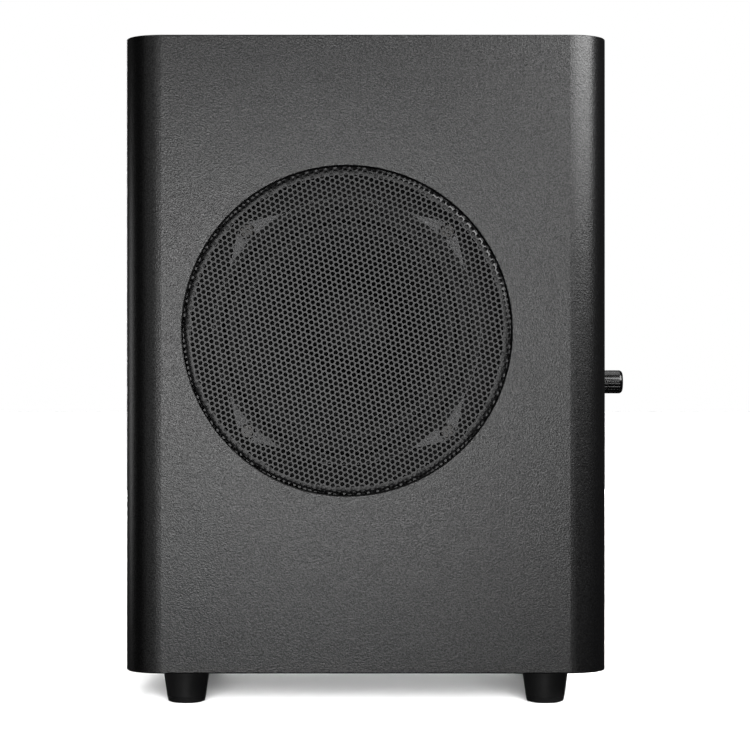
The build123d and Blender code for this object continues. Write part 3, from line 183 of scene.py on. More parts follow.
# ---------------------------------------------------------------- materials
class Finish:
    """A Principled material whose detail comes from the place on the object, in metres."""

    def __init__(self, name, colour, **values):
        self.material = bpy.data.materials.new(name)
        self.material.use_nodes = True
        self.tree = self.material.node_tree
        self.shader = self.tree.nodes["Principled BSDF"]
        self.shader.inputs["Base Color"].default_value = (*colour, 1)
        for socket, value in values.items():
            self.shader.inputs[socket.replace("_", " ")].default_value = value
        self.place = self.node("ShaderNodeTexCoord").outputs["Object"]
        self.normal = None

    def node(self, kind, inputs=None, **settings):
        made = self.tree.nodes.new(kind)
        for key, value in settings.items():
            setattr(made, key, value)
        for key, value in (inputs or {}).items():
            if isinstance(value, bpy.types.NodeSocket):
                self.tree.links.new(value, made.inputs[key])
            else:
                made.inputs[key].default_value = value
        return made

    def link(self, output, socket):
        self.tree.links.new(output, self.shader.inputs[socket])

    def stretched(self, x=1.0, y=1.0, z=1.0, centre=(0, 0, 0)):
        """The place with each axis multiplied, so that a pattern is finer along it."""
        moved = self.node("ShaderNodeVectorMath", {0: self.place, 1: centre}, operation="SUBTRACT")
        inputs = {0: moved.outputs[0], 1: (x, y, z)}
        return self.node("ShaderNodeVectorMath", inputs, operation="MULTIPLY").outputs[0]

    def noise(self, size, detail=2.0, roughness=0.5, place=None):
        """Cloudy pattern from 0 to 1 with features of that size."""
        inputs = {"Vector": place or self.place, "Scale": 1 / size}
        inputs |= {"Detail": detail, "Roughness": roughness}
        return self.node("ShaderNodeTexNoise", inputs).outputs["Fac"]

    def cells(self, size, feature="F1"):
        """Distance from the seeds of cells of that size, or from the cells' edges."""
        inputs = {"Vector": self.place, "Scale": 1 / size}
        return self.node("ShaderNodeTexVoronoi", inputs, feature=feature).outputs["Distance"]

    def waves(self, size, axis="X", distortion=0.0, place=None, rings=False):
        """Bands one size apart along an axis, or rings about it."""
        inputs = {"Vector": place or self.place, "Scale": math.pi / (10 * size)}
        inputs["Distortion"] = distortion
        kind = {"wave_type": "RINGS", "rings_direction": axis} if rings else {"bands_direction": axis}
        return self.node("ShaderNodeTexWave", inputs, **kind).outputs["Fac"]

    def spread(self, value, low, high, start=0.0, end=1.0):
        """Value from start to end, turned into low to high."""
        inputs = {"Value": value, "From Min": start, "From Max": end, "To Min": low, "To Max": high}
        return self.node("ShaderNodeMapRange", inputs).outputs["Result"]

    def maths(self, operation, first, second=0.0):
        return self.node("ShaderNodeMath", {0: first, 1: second}, operation=operation).outputs[0]

    def ramp(self, value, first, second, start=0.0, end=1.0):
        """Colour from first to second as value goes from start to end."""
        made = self.node("ShaderNodeValToRGB", {"Fac": value})
        stops = made.color_ramp.elements
        stops[0].position, stops[1].position = start, end
        stops[0].color, stops[1].color = (*first, 1), (*second, 1)
        return made.outputs["Color"]

    def tint(self, value, first, second, start=0.0, end=1.0):
        """Base colour from first to second as value goes from start to end."""
        colour = self.ramp(value, first, second, start, end)
        self.link(colour, "Base Color")
        return colour

    def mix_tint(self, share, first, second):
        """Base colour that is first where share is 0 and second where it is 1."""
        mix = self.node("ShaderNodeMix", {"Factor": share}, data_type="RGBA")
        for socket, colour in ((mix.inputs[6], first), (mix.inputs[7], second)):
            if isinstance(colour, bpy.types.NodeSocket):
                self.tree.links.new(colour, socket)
            else:
                socket.default_value = (*colour, 1)
        self.link(mix.outputs[2], "Base Color")

    def gloss(self, value, low, high, start=0.3, end=0.7):
        """Roughness from low to high as value goes from start to end."""
        self.link(self.spread(value, low, high, start, end), "Roughness")

    def bump(self, height, depth):
        """Relief of that depth, on top of what is there already."""
        inputs = {"Height": height, "Distance": depth}
        if self.normal:
            inputs["Normal"] = self.normal
        self.normal = self.node("ShaderNodeBump", inputs).outputs["Normal"]
        self.link(self.normal, "Normal")


BOARD_MARGIN = 0.3 * MM
RECESS_MARGIN = 1.0 * MM
RECESS_REACH = 20 * MM  # behind the grille's middle
TOP_SLOPE = 0.9  # upward part of the normal on the cabinet's top


def inside_cabinet(finish):
    """1 on the boards' faces towards the inside of the cabinet, 0 elsewhere."""
    centre = (INSIDE_LOW + INSIDE_HIGH) / 2
    half = (INSIDE_HIGH - INSIDE_LOW) / 2
    offset = finish.stretched(centre=tuple(centre))
    size = finish.node("ShaderNodeVectorMath", {0: offset}, operation="ABSOLUTE")
    axes = finish.node("ShaderNodeSeparateXYZ", {"Vector": size.outputs[0]})
    share = None
    for axis, limit in zip("XYZ", half):
        within = finish.maths("LESS_THAN", axes.outputs[axis], limit + BOARD_MARGIN)
        share = within if share is None else finish.maths("MULTIPLY", share, within)
    return share


def inside_recess(finish):
    """1 in the woofer's recess behind the grille, 0 on the cabinet's faces."""
    apart = finish.stretched(1, 0, 1, tuple(WOOFER))
    reach = finish.node("ShaderNodeVectorMath", {0: apart}, operation="LENGTH").outputs["Value"]
    depth = finish.node("ShaderNodeSeparateXYZ", {"Vector": finish.place}).outputs["Y"]
    below = finish.maths("GREATER_THAN", depth, CABINET_LOW.y + RECESS_MARGIN)
    before = finish.maths("LESS_THAN", depth, WOOFER.y + RECESS_REACH)
    within = finish.maths("LESS_THAN", reach, GRILLE_RADIUS + RECESS_MARGIN)
    return finish.maths("MULTIPLY", within, finish.maths("MULTIPLY", below, before))


def facing_up(finish):
    """1 on the cabinet's top, 0 on its sides."""
    normal = finish.node("ShaderNodeTexCoord").outputs["Normal"]
    upward = finish.node("ShaderNodeSeparateXYZ", {"Vector": normal}).outputs["Z"]
    return finish.maths("GREATER_THAN", upward, TOP_SLOPE)


def cabinet_paint(slot):
    """Satin textured paint outside, duller on top and in the recess, and bare fibreboard inside."""
    finish = Finish(slot, (0.002, 0.002, 0.0021), Roughness=0.36)
    speckle = finish.noise(0.8 * MM, 1.0, 0.6)
    fibres = finish.noise(2.5 * MM, 4.0, 0.7, finish.stretched(1, 1, 3))
    paint = finish.ramp(speckle, (0.0013, 0.0013, 0.0014), (0.0028, 0.0028, 0.0030), 0.3, 0.7)
    board = finish.ramp(fibres, (0.20, 0.13, 0.07), (0.36, 0.26, 0.16))
    inside = inside_cabinet(finish)
    finish.mix_tint(inside, paint, board)
    painted_gloss = finish.spread(finish.noise(1.3 * MM, 2.0), 0.28, 0.34, 0.3, 0.7)
    plain = finish.maths("MAXIMUM", inside_recess(finish), facing_up(finish))
    dull = finish.spread(finish.maths("MAXIMUM", inside, plain), 0, 0.85)
    finish.link(finish.maths("MAXIMUM", painted_gloss, dull), "Roughness")
    finish.link(finish.spread(speckle, 0.34, 0.66, 0.3, 0.7), "Specular IOR Level")
    finish.bump(speckle, 0.12 * MM)
    finish.bump(finish.noise(14 * MM, 1.0), 0.05 * MM)
    return finish.material


def grille_coat(slot):
    """Charcoal powder coat on the perforated steel."""
    finish = Finish(slot, (0.006, 0.006, 0.0063), Specular_IOR_Level=0.40)
    grain = finish.noise(0.35 * MM, 3.0)
    finish.tint(grain, (0.004, 0.004, 0.0042), (0.008, 0.008, 0.0084), 0.3, 0.7)
    finish.gloss(grain, 0.30, 0.38)
    finish.bump(grain, 0.02 * MM)
    return finish.material


def moulded_black(
    slot, colour=(0.012, 0.012, 0.0125), rough=(0.34, 0.48), grain_size=0.4 * MM, depth=0.012 * MM
):
    """Black moulded plastic with a fine spark-eroded grain."""
    finish = Finish(slot, colour)
    grain = finish.noise(grain_size, 3.0, 0.6)
    finish.tint(grain, tuple(0.75 * c for c in colour), tuple(1.3 * c for c in colour), 0.3, 0.7)
    finish.gloss(finish.noise(9 * MM, 3.0), *rough)
    finish.bump(grain, depth)
    return finish.material


def foot_plastic(slot):
    return moulded_black(slot, (0.018, 0.018, 0.0185), (0.34, 0.44), 0.5 * MM, 0.008 * MM)


def switch_plastic(slot):
    return moulded_black(slot, (0.018, 0.018, 0.019), (0.30, 0.42), 0.3 * MM, 0.006 * MM)


def knob_plastic(slot):
    return moulded_black(slot, (0.002, 0.002, 0.0021), (0.14, 0.20), 0.8 * MM, 0.003 * MM)


def pad_rubber(slot):
    """Black rubber with a little dust."""
    finish = Finish(slot, (0.02, 0.02, 0.02), Roughness=0.8)
    dust = finish.noise(1.2 * MM, 5.0, 0.7)
    finish.tint(dust, (0.014, 0.014, 0.014), (0.035, 0.035, 0.034), 0.4, 0.75)
    finish.gloss(dust, 0.7, 0.9)
    finish.bump(dust, 0.05 * MM)
    return finish.material


def brushed_metal(slot, colour, rough=(0.25, 0.42), axis="X"):
    """Bare or plated steel with fine drawing lines and faint stains."""
    finish = Finish(slot, colour, Metallic=1.0)
    stretch = {a.lower(): (0.05 if a == axis else 1.0) for a in "XYZ"}
    lines = finish.noise(0.25 * MM, 3.0, 0.7, finish.stretched(**stretch))
    stains = finish.noise(6 * MM, 4.0, 0.6)
    finish.tint(stains, tuple(0.72 * c for c in colour), colour, 0.35, 0.65)
    finish.gloss(lines, *rough)
    finish.bump(lines, 0.006 * MM)
    return finish.material


def zinc_steel(slot):
    return brushed_metal(slot, (0.62, 0.61, 0.56), (0.28, 0.45))


def mounting_steel(slot):
    return brushed_metal(slot, (0.50, 0.50, 0.49), (0.24, 0.38))


def plated_steel(slot):
    """Yellowish passivated steel of the magnet's plates."""
    return brushed_metal(slot, (0.48, 0.47, 0.41), (0.30, 0.48), "Z")


def pot_metal(slot):
    return brushed_metal(slot, (0.55, 0.55, 0.56), (0.22, 0.36), "Z")


def tinned_brass(slot):
    return brushed_metal(slot, (0.68, 0.67, 0.62), (0.20, 0.32))


def gilt_sleeves(slot):
    return brushed_metal(slot, (0.83, 0.60, 0.22), (0.14, 0.24), "Y")


def former_aluminium(slot):
    return brushed_metal(slot, (0.72, 0.72, 0.73), (0.26, 0.40), "Y")


def sink_aluminium(slot):
    """Grey anodised extrusion with its drawing lines along the fins."""
    return brushed_metal(slot, (0.20, 0.20, 0.21), (0.38, 0.52), "Z")


def frame_paint(slot):
    """Grey coating on the pressed steel woofer frame."""
    finish = Finish(slot, (0.17, 0.17, 0.175), Roughness=0.4)
    peel = finish.noise(1.6 * MM, 2.0)
    finish.tint(finish.noise(8 * MM, 4.0), (0.14, 0.14, 0.145), (0.20, 0.20, 0.205), 0.35, 0.65)
    finish.gloss(peel, 0.34, 0.48)
    finish.bump(peel, 0.03 * MM)
    return finish.material


def gasket_foam(slot):
    """Black foam with open pores, darkened inside with painted shade."""
    finish = Finish(slot, (0.02, 0.02, 0.02), Roughness=0.9)
    pores = finish.cells(0.45 * MM)
    # painted shade: darker towards the middle of each pore, where the bump sinks
    finish.tint(pores, (0.005, 0.005, 0.005), (0.018, 0.018, 0.018), 0.1, 0.7)
    finish.bump(pores, 0.12 * MM)
    return finish.material


def surround_rubber(slot):
    """Smooth black rubber, slightly clouded."""
    finish = Finish(slot, (0.006, 0.006, 0.0063), Specular_IOR_Level=0.3)
    skin = finish.noise(3.0 * MM, 4.0, 0.6)
    finish.tint(skin, (0.004, 0.004, 0.0042), (0.009, 0.009, 0.0094), 0.3, 0.7)
    finish.gloss(skin, 0.54, 0.68)
    finish.bump(finish.noise(0.7 * MM, 2.0), 0.01 * MM)
    return finish.material


def cone_paper(slot):
    """Black pressed pulp: a felt of short fibres, with faint rings from the press."""
    finish = Finish(slot, (0.006, 0.006, 0.0063), Specular_IOR_Level=0.22)
    fibres = finish.noise(0.9 * MM, 5.0, 0.75, finish.stretched(1, 1, 2.5))
    crossing = finish.noise(0.9 * MM, 5.0, 0.75, finish.stretched(2.5, 1, 1))
    felt = finish.maths("MULTIPLY", fibres, crossing)
    rings = finish.waves(1.6 * MM, "Y", 0.4, finish.stretched(centre=tuple(WOOFER)), rings=True)
    finish.tint(felt, (0.002, 0.002, 0.0021), (0.007, 0.007, 0.0074), 0.15, 0.40)
    finish.gloss(felt, 0.62, 0.78, 0.15, 0.40)
    finish.bump(felt, 0.10 * MM)
    finish.bump(rings, 0.02 * MM)
    return finish.material


def copper_wire(slot):
    """Turns of enamelled wire, one band for each, with painted shade darkening the grooves between the
    turns.
    """
    finish = Finish(slot, (0.70, 0.30, 0.12), Metallic=1.0, Coat_Weight=0.6, Coat_Roughness=0.15)
    turns = finish.waves(0.3 * MM, "Y")
    # painted shade: the base colour darkens into the grooves between the turns
    finish.tint(turns, (0.22, 0.07, 0.025), (0.78, 0.36, 0.16), 0.1, 0.7)
    finish.gloss(turns, 0.4, 0.22)
    finish.bump(turns, 0.12 * MM)
    return finish.material


def woven(slot, colour, thread, depth, **values):
    """Plain weave of round threads that pass over and under along X and Z, with painted shade in the
    hollows and painted light on the threads' crowns.
    """
    finish = Finish(slot, colour, **values)
    warp = finish.waves(thread, "X", 0.6)
    weft = finish.waves(thread, "Z", 0.6)
    weave = finish.maths("MAXIMUM", warp, weft)
    # painted shade and light: a darker copy of the colour in the hollows, a lighter one on the threads
    shaded_hollows, threads = tuple(0.55 * c for c in colour), tuple(1.15 * c for c in colour)
    finish.tint(weave, shaded_hollows, threads, 0.35, 1.0)
    finish.bump(weave, depth)
    return finish.material


def spider_cloth(slot):
    """Resin-stiffened yellow cloth."""
    return woven(slot, (0.56, 0.38, 0.13), 0.55 * MM, 0.14 * MM, Roughness=0.75, Sheen_Weight=0.2)


def ferrite(slot):
    """Dark grey ceramic with grinding marks."""
    finish = Finish(slot, (0.075, 0.075, 0.08), Roughness=0.55)
    grit = finish.noise(0.5 * MM, 5.0, 0.7)
    marks = finish.waves(1.1 * MM, "Y", 2.0)
    finish.tint(grit, (0.05, 0.05, 0.054), (0.12, 0.12, 0.125), 0.3, 0.75)
    finish.gloss(marks, 0.42, 0.62)
    finish.bump(grit, 0.05 * MM)
    return finish.material


BLADE_MIDDLE = 3 * MM  # in from the strip's low outer corner
BLADE_REACH = 8.5 * MM
STRIPE_START = 7.5 * MM
TAPE_TURNS = 34


def terminal_board(slot):
    """Brown phenolic strip, and bright tinned blades past its end."""
    finish = Finish(slot, (0.20, 0.09, 0.035), Roughness=0.4)
    low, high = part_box("woofer_terminals")
    apart = finish.stretched(1, 0, 1, (high.x - BLADE_MIDDLE, 0, low.z + BLADE_MIDDLE))
    reach = finish.node("ShaderNodeVectorMath", {0: apart}, operation="LENGTH")
    blade = finish.maths("LESS_THAN", reach.outputs["Value"], BLADE_REACH)
    layers = finish.noise(0.8 * MM, 4.0)
    brown = finish.tint(layers, (0.13, 0.055, 0.02), (0.27, 0.13, 0.055), 0.3, 0.7)
    finish.mix_tint(blade, brown, (0.70, 0.69, 0.64))
    finish.link(blade, "Metallic")
    finish.gloss(layers, 0.3, 0.45)
    return finish.material


def black_screws(slot):
    """Blackened steel, slightly stained."""
    finish = Finish(slot, (0.035, 0.035, 0.036), Metallic=0.8)
    stains = finish.noise(1.5 * MM, 4.0, 0.6)
    finish.tint(stains, (0.025, 0.025, 0.026), (0.065, 0.062, 0.058), 0.35, 0.7)
    finish.gloss(stains, 0.24, 0.40)
    finish.bump(finish.noise(0.3 * MM, 2.0), 0.01 * MM)
    return finish.material


def plate_coat(slot):
    """Black powder coat with an orange-peel texture."""
    finish = Finish(slot, (0.017, 0.017, 0.018), Roughness=0.5)
    peel = finish.noise(0.9 * MM, 2.0, 0.5)
    finish.tint(peel, (0.012, 0.012, 0.013), (0.024, 0.024, 0.025), 0.3, 0.7)
    finish.gloss(peel, 0.42, 0.56)
    finish.bump(peel, 0.05 * MM)
    return finish.material


def circuit_board(slot):
    """Green solder mask over copper tracks, on both faces."""
    finish = Finish(slot, (0.02, 0.13, 0.05), Roughness=0.32, Coat_Weight=0.3)
    tracks = finish.cells(6 * MM, feature="DISTANCE_TO_EDGE")
    tracks = finish.maths("LESS_THAN", tracks, 0.09)
    weave = finish.noise(0.6 * MM, 2.0)
    finish.mix_tint(tracks, (0.012, 0.095, 0.035), (0.035, 0.19, 0.07))
    finish.gloss(weave, 0.26, 0.38)
    finish.bump(tracks, 0.04 * MM)
    return finish.material


def capacitor_sleeve(slot):
    """Dark blue shrink sleeve with a pale stripe down one side."""
    finish = Finish(slot, (0.015, 0.02, 0.07), Roughness=0.3)
    centre = finish.stretched(centre=tuple(middle("filter_capacitors")))
    axes = finish.node("ShaderNodeSeparateXYZ", {"Vector": centre})
    stripe = finish.maths("GREATER_THAN", axes.outputs["Y"], STRIPE_START)
    finish.mix_tint(stripe, (0.012, 0.018, 0.065), (0.55, 0.57, 0.60))
    creases = finish.noise(5 * MM, 3.0, 0.5, finish.stretched(0.3, 1, 1))
    finish.gloss(creases, 0.22, 0.36)
    finish.bump(creases, 0.15 * MM)
    return finish.material


def transformer_tape(slot):
    """Overlapping turns of yellow tape, wound through the ring, with painted shade at the foot of each
    turn's edge.
    """
    finish = Finish(slot, (0.62, 0.46, 0.08), Roughness=0.35)
    centre = finish.stretched(centre=tuple(middle("toroid_transformer")))
    axes = finish.node("ShaderNodeSeparateXYZ", {"Vector": centre})
    angle = finish.maths("ARCTAN2", axes.outputs["Z"], axes.outputs["Y"])
    turns = finish.maths("FRACT", finish.maths("MULTIPLY", angle, TAPE_TURNS / (2 * math.pi)))
    # painted shade: dark at the low side of each turn's step, under the edge of the turn beside it
    finish.tint(turns, (0.42, 0.29, 0.04), (0.68, 0.52, 0.10), 0.0, 0.35)
    finish.gloss(finish.noise(4 * MM, 3.0), 0.28, 0.42)
    finish.bump(turns, 0.25 * MM)
    return finish.material


def indicator_lens(slot):
    """Tinted lens of the status light."""
    finish = Finish(slot, (0.05, 0.30, 0.10), Roughness=0.12, IOR=1.5, Transmission_Weight=0.6)
    ripple = finish.noise(0.8 * MM, 2.0)
    finish.tint(ripple, (0.04, 0.25, 0.08), (0.08, 0.38, 0.14), 0.3, 0.7)
    finish.bump(ripple, 0.004 * MM)
    return finish.material


def glossy_colour(slot, colour):
    """Coloured moulded plastic of a socket."""
    finish = Finish(slot, colour, Roughness=0.25)
    flow = finish.noise(2.0 * MM, 3.0)
    finish.tint(flow, tuple(0.88 * c for c in colour), colour, 0.3, 0.7)
    finish.gloss(flow, 0.20, 0.32)
    finish.bump(flow, 0.008 * MM)
    return finish.material


def white_insulator(slot):
    return glossy_colour(slot, (0.80, 0.79, 0.75))


def red_insulator(slot):
    return glossy_colour(slot, (0.55, 0.018, 0.015))


def lead_shells(slot):
    return glossy_colour(slot, (0.66, 0.63, 0.52))


def lead_sheath(slot):
    """Black flexible sheath."""
    finish = Finish(slot, (0.02, 0.02, 0.021), Roughness=0.45)
    skin = finish.noise(1.8 * MM, 3.0)
    finish.tint(skin, (0.014, 0.014, 0.015), (0.030, 0.030, 0.031), 0.3, 0.7)
    finish.gloss(skin, 0.38, 0.52)
    finish.bump(skin, 0.03 * MM)
    return finish.material


def wadding(slot):
    """Loose white polyester fibres."""
    finish = Finish(slot, (0.72, 0.72, 0.69), Roughness=0.95, Sheen_Weight=0.5, Sheen_Roughness=0.6)
    strands = finish.noise(1.4 * MM, 6.0, 0.8, finish.stretched(1, 1, 3))
    finish.tint(strands, (0.52, 0.52, 0.49), (0.80, 0.80, 0.78), 0.35, 0.65)
    finish.bump(strands, 0.9 * MM)
    return finish.material


def plate_ink(slot):
    """Pale screen-printed marks."""
    finish = Finish(slot, (0.6, 0.6, 0.58), Roughness=0.6)
    mesh_pattern = finish.noise(0.25 * MM, 2.0)
    finish.tint(mesh_pattern, (0.48, 0.48, 0.46), (0.68, 0.68, 0.66), 0.3, 0.6)
    return finish.material


FINISHES = {
    "charcoal_paint": cabinet_paint,
    "foot_plastic": foot_plastic,
    "pad_rubber": pad_rubber,
    "zinc_steel": zinc_steel,
    "grille_paint": grille_coat,
    "black_plastic": moulded_black,
    "frame_paint": frame_paint,
    "gasket_foam": gasket_foam,
    "surround_rubber": surround_rubber,
    "cone_paper": cone_paper,
    "former_aluminium": former_aluminium,
    "copper_wire": copper_wire,
    "spider_cloth": spider_cloth,
    "plated_steel": plated_steel,
    "ferrite": ferrite,
    "terminal_board": terminal_board,
    "black_screws": black_screws,
    "plate_coat": plate_coat,
    "circuit_board": circuit_board,
    "sink_aluminium": sink_aluminium,
    "capacitor_sleeve": capacitor_sleeve,
    "transformer_tape": transformer_tape,
    "mounting_steel": mounting_steel,
    "pot_metal": pot_metal,
    "knob_plastic": knob_plastic,
    "switch_plastic": switch_plastic,
    "indicator_lens": indicator_lens,
    "gilt_sleeves": gilt_sleeves,
    "white_insulator": white_insulator,
    "red_insulator": red_insulator,
    "tinned_brass": tinned_brass,
    "lead_sheath": lead_sheath,
    "lead_shells": lead_shells,
    "wadding": wadding,
}
MATERIALS = {slot: make(slot + "_finish") for slot, make in FINISHES.items()}


def finish_frame():
    """Every CAD node gets the finish of its slot in the record."""
    for subpart in frame["record"]["subparts"]:
        for held in frame["nodes"][subpart["node"]].material_slots:
            held.material = MATERIALS[subpart["material_slot"]]


# ---------------------------------------------------------------- mesh pieces
def new_piece(name, points, faces, slot, body=None, sharp=40):
    """Mesh object with smooth faces, creased where they meet at more than sharp degrees."""
    mesh = bpy.data.meshes.new(name)
    mesh.from_pydata(points, [], faces)
    mesh.validate()
    mesh.materials.append(MATERIALS[slot])
    mesh.polygons.foreach_set("use_smooth", [True] * len(mesh.polygons))
    mesh.set_sharp_from_angle(angle=math.radians(sharp))
    piece = bpy.data.objects.new(name, mesh)
    bpy.context.scene.collection.objects.link(piece)
    if body:
        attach(piece, body)
    return piece


def lathe(name, profile, slot, body=None, steps=240):
    """Closed profile of (radius, y) points, turned about the woofer's axis."""
    points, faces = [], []
    count = len(profile)
    for step in range(steps):
        turn = 2 * math.pi * step / steps
        across, up = math.cos(turn), math.sin(turn)
        points += [(WOOFER.x + radius * across, y, WOOFER.z + radius * up) for radius, y in profile]
    for step in range(steps):
        here, there = step * count, (step + 1) % steps * count
        for i in range(count):
            j = (i + 1) % count
            faces.append((here + i, here + j, there + j, there + i))
    piece = new_piece(name, points, faces, slot, body)
    outward(piece.data)
    return piece


def outward(mesh, weld=0.0):
    """Turns a closed mesh's faces to the outside, once points closer than weld are joined."""
    worked = bmesh.new()
    worked.from_mesh(mesh)
    if weld:
        bmesh.ops.remove_doubles(worked, verts=worked.verts, dist=weld)
    bmesh.ops.recalc_face_normals(worked, faces=worked.faces)
    worked.to_mesh(mesh)
    worked.free()


def arc(centre, radius, start, end, steps):
    """(radius, y) points of an arc, by angles in degrees from the outward direction towards -Y."""
    points = []
    for i in range(steps + 1):
        turn = math.radians(start + (end - start) * i / steps)
        points.append((centre[0] + radius * math.cos(turn), centre[1] - radius * math.sin(turn)))
    return points


# ---------------------------------------------------------------- perforated grille
HOLE_PITCH = 3.14 * MM
ROW_PITCH = HOLE_PITCH * math.sqrt(0.75)
HOLE_RADIUS = 1.25 * MM
HOLE_SIDES = 12
LATTICE_TURN = math.radians(39.2)
SHEET = 1.2 * MM
GRILLE_BEND = 3.0 * MM
GRILLE_FLAT = GRILLE_RADIUS - GRILLE_BEND
LAST_HOLES = 1.0 * MM  # past the bend
HOLES_WITHIN = GRILLE_FLAT + GRILLE_BEND * math.pi / 2 + LAST_HOLES
SAME_CORNER = 0.1 * MM
SKIRT_OVERLAP = 0.6 * MM
SKIRT_INSET = 0.1 * MM


def pressed(u, v, under=0.0):
    """Where a point of the flat blank ends up once the cup is pressed, so far under its face."""
    reach = math.hypot(u, v)
    past = max(0.0, reach - GRILLE_FLAT)
    turn = min(past / GRILLE_BEND, math.pi / 2)
    straight = past - turn * GRILLE_BEND
    radius = min(reach, GRILLE_FLAT) + (GRILLE_BEND - under) * math.sin(turn)
    y = GRILLE_LOW.y + GRILLE_BEND - (GRILLE_BEND - under) * math.cos(turn) + straight
    share = radius / reach if reach else 0.0
    return (WOOFER.x + u * share, y, WOOFER.z + v * share)


def hole_centres():
    """Centres of the holes on the flat blank, in staggered rows."""
    rows = math.ceil(HOLES_WITHIN / ROW_PITCH)
    reach = math.ceil(HOLES_WITHIN / HOLE_PITCH) + 1
    for row in range(-rows, rows + 1):
        across = row * ROW_PITCH
        for step in range(-reach, reach + 1):
            along = (step + 0.5 * (row % 2)) * HOLE_PITCH
            u = along * math.cos(LATTICE_TURN) - across * math.sin(LATTICE_TURN)
            v = along * math.sin(LATTICE_TURN) + across * math.cos(LATTICE_TURN)
            if math.hypot(u, v) < HOLES_WITHIN:
                yield u, v


def ring_of(u, v, radius, sides, turn):
    """Points evenly spaced on a circle of the blank, the first one turned by turn."""
    points = []
    for i in range(sides):
        angle = turn + 2 * math.pi * i / sides
        points.append((u + radius * math.cos(angle), v + radius * math.sin(angle)))
    return points


def perforated_grille():
    """Each hole sits in a hexagon of the sheet, and neighbours share the hexagons' corners."""
    points, faces, corner_at = [], [], {}
    corner_turn = LATTICE_TURN + math.radians(30)

    def corner(u, v):
        key = (round(u / SAME_CORNER), round(v / SAME_CORNER))
        for near in ((key[0] + i, key[1] + j) for i in (-1, 0, 1) for j in (-1, 0, 1)):
            if near in corner_at:
                return corner_at[near]
        corner_at[key] = len(points)
        points.append(pressed(u, v))
        return corner_at[key]

    for u, v in hole_centres():
        corners = [corner(*p) for p in ring_of(u, v, HOLE_PITCH / math.sqrt(3), 6, corner_turn)]
        circle = ring_of(u, v, HOLE_RADIUS, HOLE_SIDES, corner_turn)
        rim = len(points)
        points += [pressed(*p) for p in circle]
        for k in range(6):
            before, at, after = (2 * k - 1) % HOLE_SIDES, 2 * k, 2 * k + 1
            faces.append((corners[k], rim + at, rim + before))
            faces.append((corners[k], rim + after, rim + at))
            faces.append((corners[k], corners[(k + 1) % 6], rim + after))
        wall = len(points)
        points += [pressed(*p, under) for under in (0.0, SHEET) for p in circle]
        for i in range(HOLE_SIDES):
            j = (i + 1) % HOLE_SIDES
            faces.append((wall + i, wall + j, wall + HOLE_SIDES + j, wall + HOLE_SIDES + i))
    grille = new_piece("perforated_grille", points, faces, "grille_paint", "cabinet", sharp=80)
    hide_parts("woofer_grille")


def grille_skirt():
    """Plain band of the cup inside the recess, from the last row of holes to its edge."""
    start = GRILLE_LOW.y + GRILLE_BEND - SKIRT_OVERLAP
    outer = GRILLE_RADIUS - SKIRT_INSET
    inner = GRILLE_RADIUS - SHEET
    end = GRILLE_HIGH.y
    profile = [(outer, start), (outer, end), (inner, end), (inner, start)]
    lathe("grille_skirt", profile, "grille_paint", "cabinet")


# ---------------------------------------------------------------- surround and spider
SURROUND_LOW, SURROUND_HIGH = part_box("woofer_surround")
SURROUND_SKIN = 0.8 * MM
SURROUND_OUTER = (SURROUND_HIGH.x - SURROUND_LOW.x) / 2
ROLL_RADIUS = 4.9 * MM
ROLL_MIDDLE = 65.9 * MM
ROLL_STEPS = 12
SURROUND_INNER = 57.5 * MM
SPIDER_SKIN = 0.6 * MM
SPIDER_WAVES = 5
SPIDER_WAVE_DEPTH = 1.4 * MM
SPIDER_STEPS = 60
SPIDER_NECK_Y = -62.4 * MM
SPIDER_NECK = 1.6 * MM  # plain ring round the coil former
LAST_WAVE = 51.6 * MM  # where the plain outer ring starts


def woofer_surround():
    """The roll in two halves that meet on its crest."""
    base = SURROUND_HIGH.y - SURROUND_SKIN
    crest = base - ROLL_RADIUS
    under = ROLL_RADIUS - SURROUND_SKIN
    over_arc = arc((ROLL_MIDDLE, base), ROLL_RADIUS, 0, 90, ROLL_STEPS)
    under_arc = arc((ROLL_MIDDLE, base + SURROUND_SKIN), under, 90, 0, ROLL_STEPS)
    outer = [(SURROUND_OUTER, base + SURROUND_SKIN), (SURROUND_OUTER, base), *over_arc, *under_arc]
    over_arc = arc((ROLL_MIDDLE, base), ROLL_RADIUS, 180, 90, ROLL_STEPS)
    under_arc = arc((ROLL_MIDDLE, base + SURROUND_SKIN), under, 90, 180, ROLL_STEPS)
    inner = [(SURROUND_INNER, base + SURROUND_SKIN), (SURROUND_INNER, base), *over_arc, *under_arc]
    far = crest - ROLL_RADIUS
    for name, profile, start, end in (
        ("surround_outer_half", outer, base, far),
        ("surround_inner_half", inner, far, base),
    ):
        half = lathe(name, profile, "surround_rubber")
        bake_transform(half)
        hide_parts("woofer_surround")


def woofer_spider():
    """Corrugated cloth disc, cupped forwards, from the frame's ledge to the coil former."""
    low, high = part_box("woofer_spider")
    former = (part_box("coil_former")[1].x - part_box("coil_former")[0].x) / 2
    outer, first_wave = (high.x - low.x) / 2, former + SPIDER_NECK
    neck_y, ledge_y = SPIDER_NECK_Y, high.y - SPIDER_SKIN
    front = [(former, neck_y)]
    for i in range(SPIDER_STEPS + 1):
        share = i / SPIDER_STEPS
        swell = SPIDER_WAVE_DEPTH * (1 - math.cos(2 * math.pi * SPIDER_WAVES * share)) / 2
        radius = first_wave + (LAST_WAVE - first_wave) * share
        front.append((radius, neck_y + (ledge_y - neck_y) * share - swell))
    front.append((outer, ledge_y))
    back = [(radius, y + SPIDER_SKIN) for radius, y in reversed(front)]
    spider = lathe("corrugated_spider", front + back, "spider_cloth")
    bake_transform(spider)
    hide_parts("woofer_spider")


